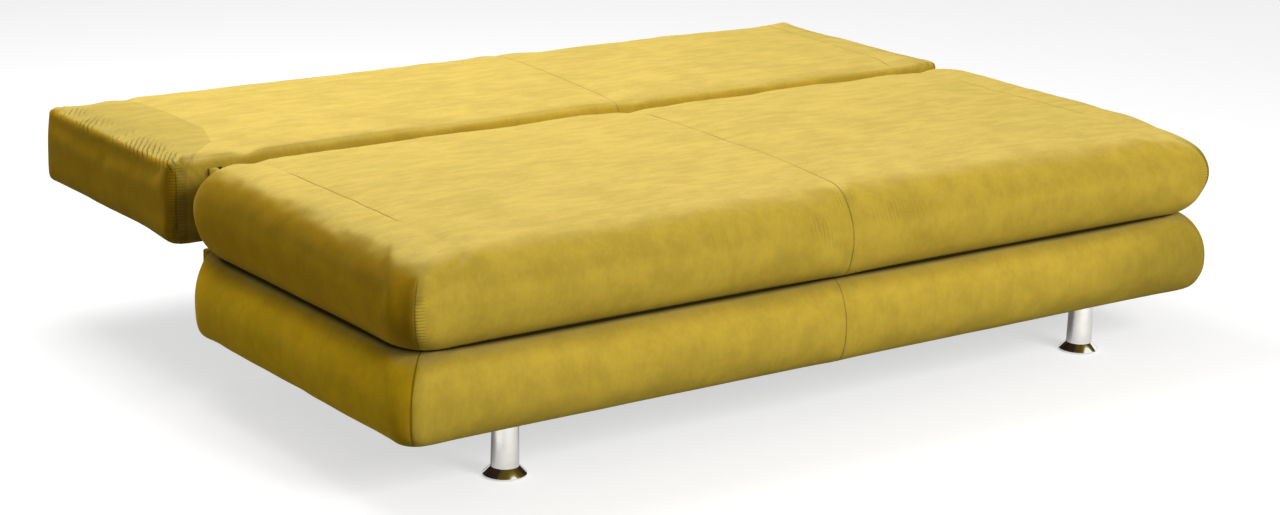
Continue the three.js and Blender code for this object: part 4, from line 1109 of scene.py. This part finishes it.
def back_pad():
    """The back: a boxed pad with small rounded edges over the hollow for its frame."""
    bottom, top = BACK_LOW.z, BACK_HIGH.z - BACK_CROWN - TOP_SWELL
    profile = boxed_profile(
        bottom, top, BACK_FOOT_EDGE, BACK_FOOT_RISE, BACK_EDGE, BACK_SWELL - TOP_SWELL, 24)
    hollow = (BACK_RAIL_HIGH.x + HOLLOW_ROOM, BACK_RAIL_LOW.y - TIGHT_ROOM, BACK_RAIL_HIGH.y + TIGHT_ROOM,
              WEBBING_HIGH.z + HOLLOW_ROOM)
    under = hollow_levels(hollow, bottom)
    outside = [back_level(offset, z) for offset, z in profile]
    levels = under + rim_levels(under[-1], outside[0], 4) + outside
    left_end = (0, 0, 0.09)
    x_shares = graded(104, (*left_end, 0.55, 0.94, 1), 0.03, 3)
    y_shares = graded(60, (0, 1), 0.05, 2)
    points, faces = pillow(levels, x_shares, y_shares, 4, BACK_CROWN)
    piece = make_object("back_pad", points, faces, BACK_VELVET)
    simulate(piece, back_hold(points), 3.0, 0.006)
    subdivide(piece)
    relief(piece, back_relief)
    return piece


def back_hold(points):
    """What the back's cloth is held by: its underside, its hollow and, loosely, its seams."""
    low = points[:, 2] < BACK_LOW.z + TOUCH
    cap = loosely(points[:, 0] - BACK_CAP_SEAM)
    middle = loosely(across_seam(points, BACK_MIDDLE))
    return np.where(low, 1.0, np.maximum(in_back_hollow(points), np.maximum(cap, middle)))


def in_back_hollow(points):
    """1 on the walls and the ceiling of the back's hollow, 0 elsewhere."""
    beside = np.abs(points[:, 0]) < BACK_RAIL_HIGH.x + 2 * HOLLOW_ROOM
    between_rails = (points[:, 1] > BACK_RAIL_LOW.y - 0.002) & (points[:, 1] < BACK_RAIL_HIGH.y + 0.002)
    return (beside & between_rails & (points[:, 2] < WEBBING_HIGH.z + 2 * HOLLOW_ROOM)).astype(float)


def back_relief(points):
    """Long and short waves, gathers at both ends, fine grooves at the seams and a sag under the front."""
    top = BACK_HIGH.z - BACK_CROWN
    solid = 1 - in_back_hollow(points)
    free = ramp(points[:, 2], BACK_LOW.z + 0.004, BACK_LOW.z + 0.03) * solid
    waves = 0.0013 * field(points, 23, 0.28) + 0.0006 * field(points, 24, 0.09)
    gathered = sum(end_gathers(points, top, side) for side in (-1, 1))
    cap = points[:, 0] - BACK_CAP_SEAM + CAP_SLOPE * np.maximum(CAP_TOP_Y - points[:, 1], 0)
    seams = 0.0012 * bell(cap, 0.0045) * (points[:, 1] > CAP_CORNER_Y - 0.01) * (points[:, 2] > 0.40)
    seams = seams + 0.0008 * bell(across_seam(points, BACK_MIDDLE), 0.0045)
    low = 1 - ramp(points[:, 2], BACK_LOW.z + 0.02, BACK_LOW.z + 0.06)
    sag = 0.006 * bell(points[:, 1] - BACK_LOW.y, 0.100) * low
    return free * (waves + gathered - seams) + sag * solid


def end_gathers(points, top, side):
    """The gathers at one end of the back, -1 left and 1 right.

    They are waves that run slantwise over the top edge, a wave for each GATHER of the way across
    them. The way is taken on the end as if it were folded up level with the top.
    """
    unfolded = BACK_HIGH.x - side * points[:, 0] + np.minimum(points[:, 2] - top, 0)
    drift = 0.004 * field(points, 27 + side, 0.10)
    slant = (0.71 * unfolded - 0.70 * points[:, 1] + drift) / GATHER
    strength = bell(unfolded - 0.028, 0.032) * (0.55 + 0.45 * field(points, 30 + side, 0.12))
    front, rear = bell(points[:, 1] - BACK_LOW.y, 0.07), bell(points[:, 1] - BACK_HIGH.y, 0.05)
    return 0.0006 * strength * (1 + front + 0.8 * rear) * np.sin(2 * np.pi * slant)


def rear_cover():
    """The padded cover of the box's rear wall: a flat pad with a post at each end."""
    edge = COVER_EDGE
    turn = np.linspace(0, np.pi / 2, 6)
    low = np.stack([edge * (np.sin(turn) - 1), COVER_LOW.z + edge * (1 - np.cos(turn))], axis=1)
    high = np.stack([edge * (np.cos(turn) - 1), COVER_HIGH.z - edge + edge * np.sin(turn)], axis=1)
    side = np.stack([np.zeros(8), np.linspace(COVER_LOW.z + edge, COVER_HIGH.z - edge, 10)[1:-1]], axis=1)
    shares = [np.linspace(0, 1, 4), np.linspace(0, 1, 80), np.linspace(0, 1, 4)]
    wall_x, wall_y = BOX_SIDE_HIGH.x + UNDER_GAP * 6, BOX_REAR_HIGH.y + UNDER_GAP * 3
    outer, inner = [], []
    for offset, z in np.concatenate([low, side, high]):
        outer.append(lift(post_path(
            COVER_HIGH.x + offset, COVER_LOW.y, COVER_HIGH.y + offset, 2 * edge + offset, shares), z))
        inner.append(lift(post_path(wall_x, COVER_LOW.y, wall_y, COVER_CORNER, shares), z))
    points, faces = band(np.stack(outer), np.stack(inner), 4)
    piece = make_object("rear_cover_pad", points, faces, PLAIN_VELVET)
    subdivide(piece)
    relief(piece, cover_relief)
    return piece


def post_path(half_x, front_y, rear_y, corner, shares):
    """A path from the foot of the right post, along the rear wall, to the foot of the left one."""
    return joined([
        np.array([(half_x, front_y)]),
        arc((half_x - corner, rear_y - corner), corner, 0, 1, 5),
        arc((corner - half_x, rear_y - corner), corner, 1, 2, 5),
        np.array([(-half_x, front_y)]),
    ], shares)


def cover_relief(points):
    """Slack waves across the rear face."""
    free = ramp(points[:, 1], COVER_HIGH.y - 0.004, COVER_HIGH.y - 0.001)
    height = (points[:, 2] - COVER_LOW.z) / (COVER_HIGH.z - COVER_LOW.z)
    return -0.0008 * free * np.sin(np.pi * np.clip(height, 0, 1)) * (1 + field(points, 41, 0.12))


def slot_cutters(outline):
    """The cutters of both ends, from an outline of (y, z) points."""
    near, far = PIN_LOW.x - SIDE_ROOM, PIN_HIGH.x + SIDE_ROOM
    return prism("right_slot", outline, near, far), prism("left_slot", outline, -far, -near)


def pin_place():
    """The hinge pin's middle, as (y, z)."""
    return (PIN_LOW.y + PIN_HIGH.y) / 2, (PIN_LOW.z + PIN_HIGH.z) / 2


def tongue_radii():
    """The inner and the outer radius about the pin of the tongue that covers a fitting."""
    inner = BRACKET_HIGH.z - pin_place()[1] + TONGUE_ROOM
    return inner, inner + TONGUE_THICKNESS


def about_pin(radius, first, last, steps):
    """Points (y, z) on an arc about the pin between two angles in degrees."""
    y, z = pin_place()
    turn = np.radians(np.linspace(first, last, steps))
    return np.stack([y + radius * np.cos(turn), z + radius * np.sin(turn)], axis=1)


def hood(side_name, side):
    """The velvet hood on the seat over the outer half of one fitting.

    It is a tongue above the fitting and a cheek beside it. Both keep within a disc about the pin and
    outside the back's arm, so they turn clear of the fitting and of the back. Their shade is that of
    the depth of the gap.
    """
    inner, outer = tongue_radii()
    y, z = pin_place()
    tongue = np.concatenate([about_pin(inner, 50, 165, 24), about_pin(outer, 165, 50, 24)])
    foot = z - CHEEK_DROP
    cheek = np.concatenate([about_pin(outer, 0, 180, 37), [(y - outer, foot), (y, foot)]])
    edge = PIN_HIGH.x + CHEEK_ROOM
    shapes = (
        ("tongue", tongue, BACK_ARM_HIGH.x + TONGUE_ROOM, edge),
        ("cheek", cheek, edge, edge + CHEEK_THICKNESS),
    )
    pieces = []
    for name, outline, near, far in shapes:
        piece = prism(f"{side_name}_{name}", outline, *sorted((side * near, side * far)))
        piece.data.materials.append(PLAIN_VELVET)
        mark(piece, "crease", np.full(len(piece.data.vertices), HOOD_SHADE))
        pieces.append(piece)
    return pieces


def open_slots(seat, back):
    """Cuts the slots for the fittings into the seat's rear and the back's front."""
    roof = BRACKET_HIGH.z + SLOT_ROOM
    around = tongue_radii()[1] + TONGUE_GAP
    under = BASE_LOW.z
    front, rear = BACK_LOW.y - SLOT_OVERRUN, BACK_LOW.y + BACK_SLOT_DEPTH
    cut(seat, *slot_cutters([
        (SEAT_ARM_LOW.y - SLOT_ROOM, under), (BACK_LOW.y, under), (BACK_LOW.y, roof),
        (BACK_ARM_LOW.y - SLOT_ROOM, roof), (PAWL_LOW.y - SLOT_ROOM, PAWL_HIGH.z + 3 * SLOT_ROOM),
        (SEAT_ARM_LOW.y - SLOT_ROOM, SPRINGS_HIGH.z + SLOT_ROOM),
    ]))
    cut(back, *slot_cutters([
        (front, under), (rear, under), (rear, WEBBING_HIGH.z + BACK_SLOT_RISE),
        *about_pin(around, 0, 90, 19), (front, pin_place()[1] + around),
    ]))


def mark(piece, name, values):
    """Writes a value for each point, which the velvet reads by its name."""
    layer = piece.data.attributes.new(name, "FLOAT", "POINT")
    layer.data.foreach_set("value", values.astype(np.float32))


def mark_painted_shade(piece, shade):
    """Marks how much painted shade each point takes, from 0 to 1.

    That is painted shade in the line between the seat and the base, softly on the cloth beside it,
    on a strip beside the sewn corners, and the piece's own painted shade.
    """
    points = coordinates(piece)
    out = outward(points)
    away = np.abs(points[:, 2] - CREASE_Z)
    line = (1 - ramp(out, 0.004, 0.018)) * ramp(out, -0.012, -0.004) * (1 - ramp(away, 0.005, 0.013))
    soft = 0.34 * (1 - ramp(away, 0.0, 0.036)) * ramp(out, -0.004, 0.004)
    round_corner = corner_distance(points)
    beside = near_corner(points, 0.160) * (1 - ramp(points[:, 2], 0.41, 0.455))
    beside = beside * (1 - ramp(round_corner, 0.0, 0.075)) * ramp(round_corner, -0.002, 0.002)
    beside = beside * np.where(points[:, 2] > CREASE_Z, 0.50, 0.40)
    mark(piece, "crease", np.maximum.reduce([line, soft, beside, shade(points, normals(piece))]))


def seat_shade(points, facing):
    """Painted shade on the shoulder of the seat's left end and, less, on that of its front."""
    shoulder = ramp(facing[:, 2], 0.05, 0.40) * (1 - ramp(facing[:, 2], 0.80, 0.98))
    left = 0.30 * ramp(-facing[:, 0], 0.10, 0.35) * shoulder
    return np.maximum(left, 0.13 * ramp(-facing[:, 1], 0.20, 0.50) * shoulder)


def base_shade(points, facing):
    """Painted shade that grows towards the base's right end."""
    return 0.34 * ramp(points[:, 0], 0.55, 0.97)


def back_shade(points, facing):
    """Painted shade on the back's front face in the gap behind the seat, and on the rounded edge above it."""
    gap = ramp(-facing[:, 1], 0.5, 0.9) * bell(points[:, 1] - BACK_LOW.y, 0.006)
    gap = gap * (0.20 + 0.35 * (1 - ramp(points[:, 2], 0.37, 0.44)))
    edge = ramp(-facing[:, 1], 0.05, 0.45) * (0.16 + 0.18 * ramp(-points[:, 0], 0.0, 0.9))
    return np.maximum(gap, edge)


def cover_shade(points, facing):
    """The cover of the rear wall lies in the shade of the back."""
    return np.full(len(points), 0.15)


def mark_painted_facing_light(piece):
    """Writes how far each point faces up, and whether it is on a sewn end panel, for the velvet's painted
    light and shade.
    """
    points, facing = coordinates(piece), normals(piece)
    up = ramp(facing[:, 2], 0.70, 0.98)
    end = ramp(np.abs(facing[:, 0]), 0.15, 0.50) * ramp(corner_distance(points), -0.002, 0.003) * (1 - up)
    mark(piece, "painted_top_light", up)
    mark(piece, "painted_end_shading", end)


def soften(piece, body, *nodes):
    """Says what a padded piece rides on and stands for."""
    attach(piece, body)
    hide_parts(*nodes)


seat, base, back, cover = seat_pad(), base_roll(), back_pad(), rear_cover()
open_slots(seat, back)
hoods = hood("left", -1) + hood("right", 1)
# Each pad takes its painted shade, and its painted light and shade by the way it faces.
for pad, shade in ((seat, seat_shade), (base, base_shade), (back, back_shade), (cover, cover_shade)):
    mark_painted_shade(pad, shade)
    mark_painted_facing_light(pad)
for flap in hoods:
    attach(flap, "seat")
soften(seat, "seat", "seat_cushion")
soften(base, "base", "base_cushion")
soften(back, "back", "back_cushion")
soften(cover, "base", "rear_cover")


# Legs and glides

PLATE_GAP = 0.0003
SHARP_ANGLE = math.radians(30)
RECESS_DEPTH = 0.0033
RIM_RADIUS = 0.0410
FLARE_HEIGHT = 0.0190
FLARE_PULL = 0.0035
FLARE_WAIST = 0.0300
NECK_RADIUS = 0.0265
TUBE_RADIUS = 0.0245
STUD_RADIUS = 0.0050
STUD_LENGTH = 0.0140
GLIDE_THICKNESS = 0.0030


def leg_profile(low, high, foot_radius):
    """The flared tube: a recess for the glide, a rim, the flare, and the tube up to its stud.

    The flare is a parabola from the rim to the neck, drawn towards a point inside it.
    """
    floor, ceiling, stud_top = low + 0.0010, low + RECESS_DEPTH, high + STUD_LENGTH
    bend = np.linspace(0, 1, 8)[:, None]
    flare = ((1 - bend) ** 2 * (RIM_RADIUS, floor + FLARE_PULL)
             + 2 * bend * (1 - bend) * (FLARE_WAIST, FLARE_HEIGHT - FLARE_PULL)
             + bend ** 2 * (NECK_RADIUS, FLARE_HEIGHT))
    return np.concatenate([
        [(0, ceiling), (foot_radius, ceiling), (foot_radius, floor + 0.0004), (foot_radius + 0.0004, floor)],
        [(RIM_RADIUS - 0.0012, floor), (RIM_RADIUS - 0.0004, floor + 0.0003), (RIM_RADIUS, floor + 0.0012)],
        flare,
        [(NECK_RADIUS - 0.0001, FLARE_HEIGHT + 0.0006), (TUBE_RADIUS, high - 0.0006)],
        [(TUBE_RADIUS - 0.0005, high), (STUD_RADIUS + 0.0002, high), (STUD_RADIUS, high + 0.0002)],
        [(STUD_RADIUS, stud_top - 0.0005), (STUD_RADIUS - 0.0005, stud_top), (0, stud_top)],
    ])


def glide_profile(radius):
    """A flat disc whose lower edge is rounded off and whose upper edge is broken."""
    top = GLIDE_THICKNESS
    return np.array([
        (0, 0), (radius - 0.0008, 0), (radius - 0.0002, 0.0003), (radius, 0.0009),
        (radius, top - 0.0002), (radius - 0.0002, top), (0, top),
    ])


def add_turned(name, profile, centre, segments, material, node_name):
    """A turned piece on the base that stands for one node, with edges that stay crisp."""
    points, faces = lathe(profile, centre, segments)
    piece = make_object(name, points, faces, material)
    piece.data.set_sharp_from_angle(angle=SHARP_ANGLE)
    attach(piece, "base")
    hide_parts(node_name)


def add_leg(place):
    """The leg at one place, from the floor to its plate, and the round glide in its foot."""
    low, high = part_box(f"leg_{place}")
    glide_low, glide_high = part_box(f"glide_{place}")
    centre, radius = (low + high) / 2, (glide_high.x - glide_low.x) / 2
    profile = leg_profile(0.0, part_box(f"leg_plate_{place}")[0].z - PLATE_GAP, radius + PLATE_GAP)
    add_turned(f"flared_leg_{place}", profile, centre, 96, CHROME, f"leg_{place}")
    add_turned(f"round_glide_{place}", glide_profile(radius), centre, 64, GLIDE_PLASTIC,
               f"glide_{place}")


for leg_place in ("front_left", "front_right", "rear_left", "rear_right"):
    add_leg(leg_place)


# Pawl springs

def pawl_coil(side):
    """A copy of the frame's coil, with its doubled points merged and in spring steel, that stands for the
    node.
    """
    node_name = f"{side}_pawl_spring"
    piece = bpy.data.objects.new(f"{side}_pawl_coil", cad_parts[node_name].data.copy())
    scene.collection.objects.link(piece)
    shape = bmesh.new()
    shape.from_mesh(piece.data)
    bmesh.ops.remove_doubles(shape, verts=shape.verts, dist=1e-6)
    shape.to_mesh(piece.data)
    shape.free()
    piece.data.materials.clear()
    piece.data.materials.append(SPRING_STEEL)
    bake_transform(piece)
    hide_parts(node_name)


pawl_coil("left")
pawl_coil("right")


# Materials of the frame's own nodes
for name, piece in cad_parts.items():
    if name.startswith("leg_rail") or name.endswith(("rail_left", "rail_right", "rail_middle")):
        chosen = PINE_ACROSS
    elif "_rail_" in name:
        chosen = PINE_ALONG
    elif name.startswith("box_floor"):
        chosen = HARDBOARD
    elif name.startswith("box_"):
        chosen = CHIPBOARD
    elif name.endswith("dust_cover"):
        chosen = DUST_CLOTH
    elif name == "back_webbing":
        chosen = WEBBING
    elif name == "seat_springs" or name.endswith("pawl_spring"):
        chosen = SPRING_STEEL
    else:
        chosen = BLACK_STEEL
    piece.data.materials.clear()
    piece.data.materials.append(chosen)


# Floor, world and lamps

def seen_directly(tree):
    """1 for camera, glossy and transmission rays, 0 for the light that falls on the object."""
    path = tree.nodes.new("ShaderNodeLightPath")
    total = path.outputs["Is Camera Ray"]
    for name in ("Is Glossy Ray", "Is Transmission Ray"):
        either = tree.nodes.new("ShaderNodeMath")
        either.operation = "MAXIMUM"
        tree.links.new(total, either.inputs[0])
        tree.links.new(path.outputs[name], either.inputs[1])
        total = either.outputs[0]
    return total


def add_floor():
    """A pale floor: near white to the camera, with a soft shadow, white in a mirror, grey to the object.

    Its glow is FLOOR_GLOW to the camera, MIRRORED_GLOW in a mirror and none to the object.
    """
    points = FLOOR_REACH * np.array([(-1.0, -1, 0), (1, -1, 0), (1, 1, 0), (-1, 1, 0)])
    material, shader = new_material("pale_floor")
    seen = seen_directly(material.node_tree)
    mirror = node(material, "ShaderNodeLightPath").outputs["Is Glossy Ray"]
    pale = mix_colours(material, mirror, FLOOR_SEEN, WHITE)
    glow = weighted(material, (seen, FLOOR_GLOW), (mirror, MIRRORED_GLOW - FLOOR_GLOW))
    for socket, value in (
        ("Base Color", mix_colours(material, seen, FLOOR_LIT, pale)), ("Roughness", 0.9),
        ("Specular IOR Level", 0.0), ("Emission Color", WHITE), ("Emission Strength", glow),
    ):
        feed(material, value, shader.inputs[socket])
    make_object("floor", points, [(0, 1, 2, 3)], material, smooth=False)


def add_world():
    """A world that is white to the camera and lights the object evenly at WORLD_LEVEL."""
    world = bpy.data.worlds.new("studio")
    world.use_nodes = True
    scene.world = world
    tree = world.node_tree
    strength = tree.nodes.new("ShaderNodeMapRange")
    strength.inputs["To Min"].default_value = WORLD_LEVEL
    strength.inputs["To Max"].default_value = 1.0
    tree.links.new(seen_directly(tree), strength.inputs["Value"])
    tree.links.new(strength.outputs["Result"], tree.nodes["Background"].inputs["Strength"])
    tree.nodes["Background"].inputs["Color"].default_value = (1, 1, 1, 1)


def add_lamp(name, place, size, level):
    """A square lamp that lights a white surface facing it at AIM to a given level.

    A square lamp gives an irradiance of power / (pi distance^2), and a white surface shows that over pi.
    """
    towards = AIM - Vector(place)
    data = bpy.data.lights.new(name, "AREA")
    data.shape = "SQUARE"
    data.size = size
    data.energy = level * math.pi ** 2 * towards.length_squared
    lamp = bpy.data.objects.new(name, data)
    lamp.location = place
    lamp.rotation_mode = "QUATERNION"
    lamp.rotation_quaternion = towards.to_track_quat("-Z", "Y")
    scene.collection.objects.link(lamp)


add_floor()
add_world()
add_lamp("key", (1.2, -5.9, 3.7), 2.6, 0.63)
add_lamp("back", (-0.5, 1.3, 3.0), 2.0, 0.98)
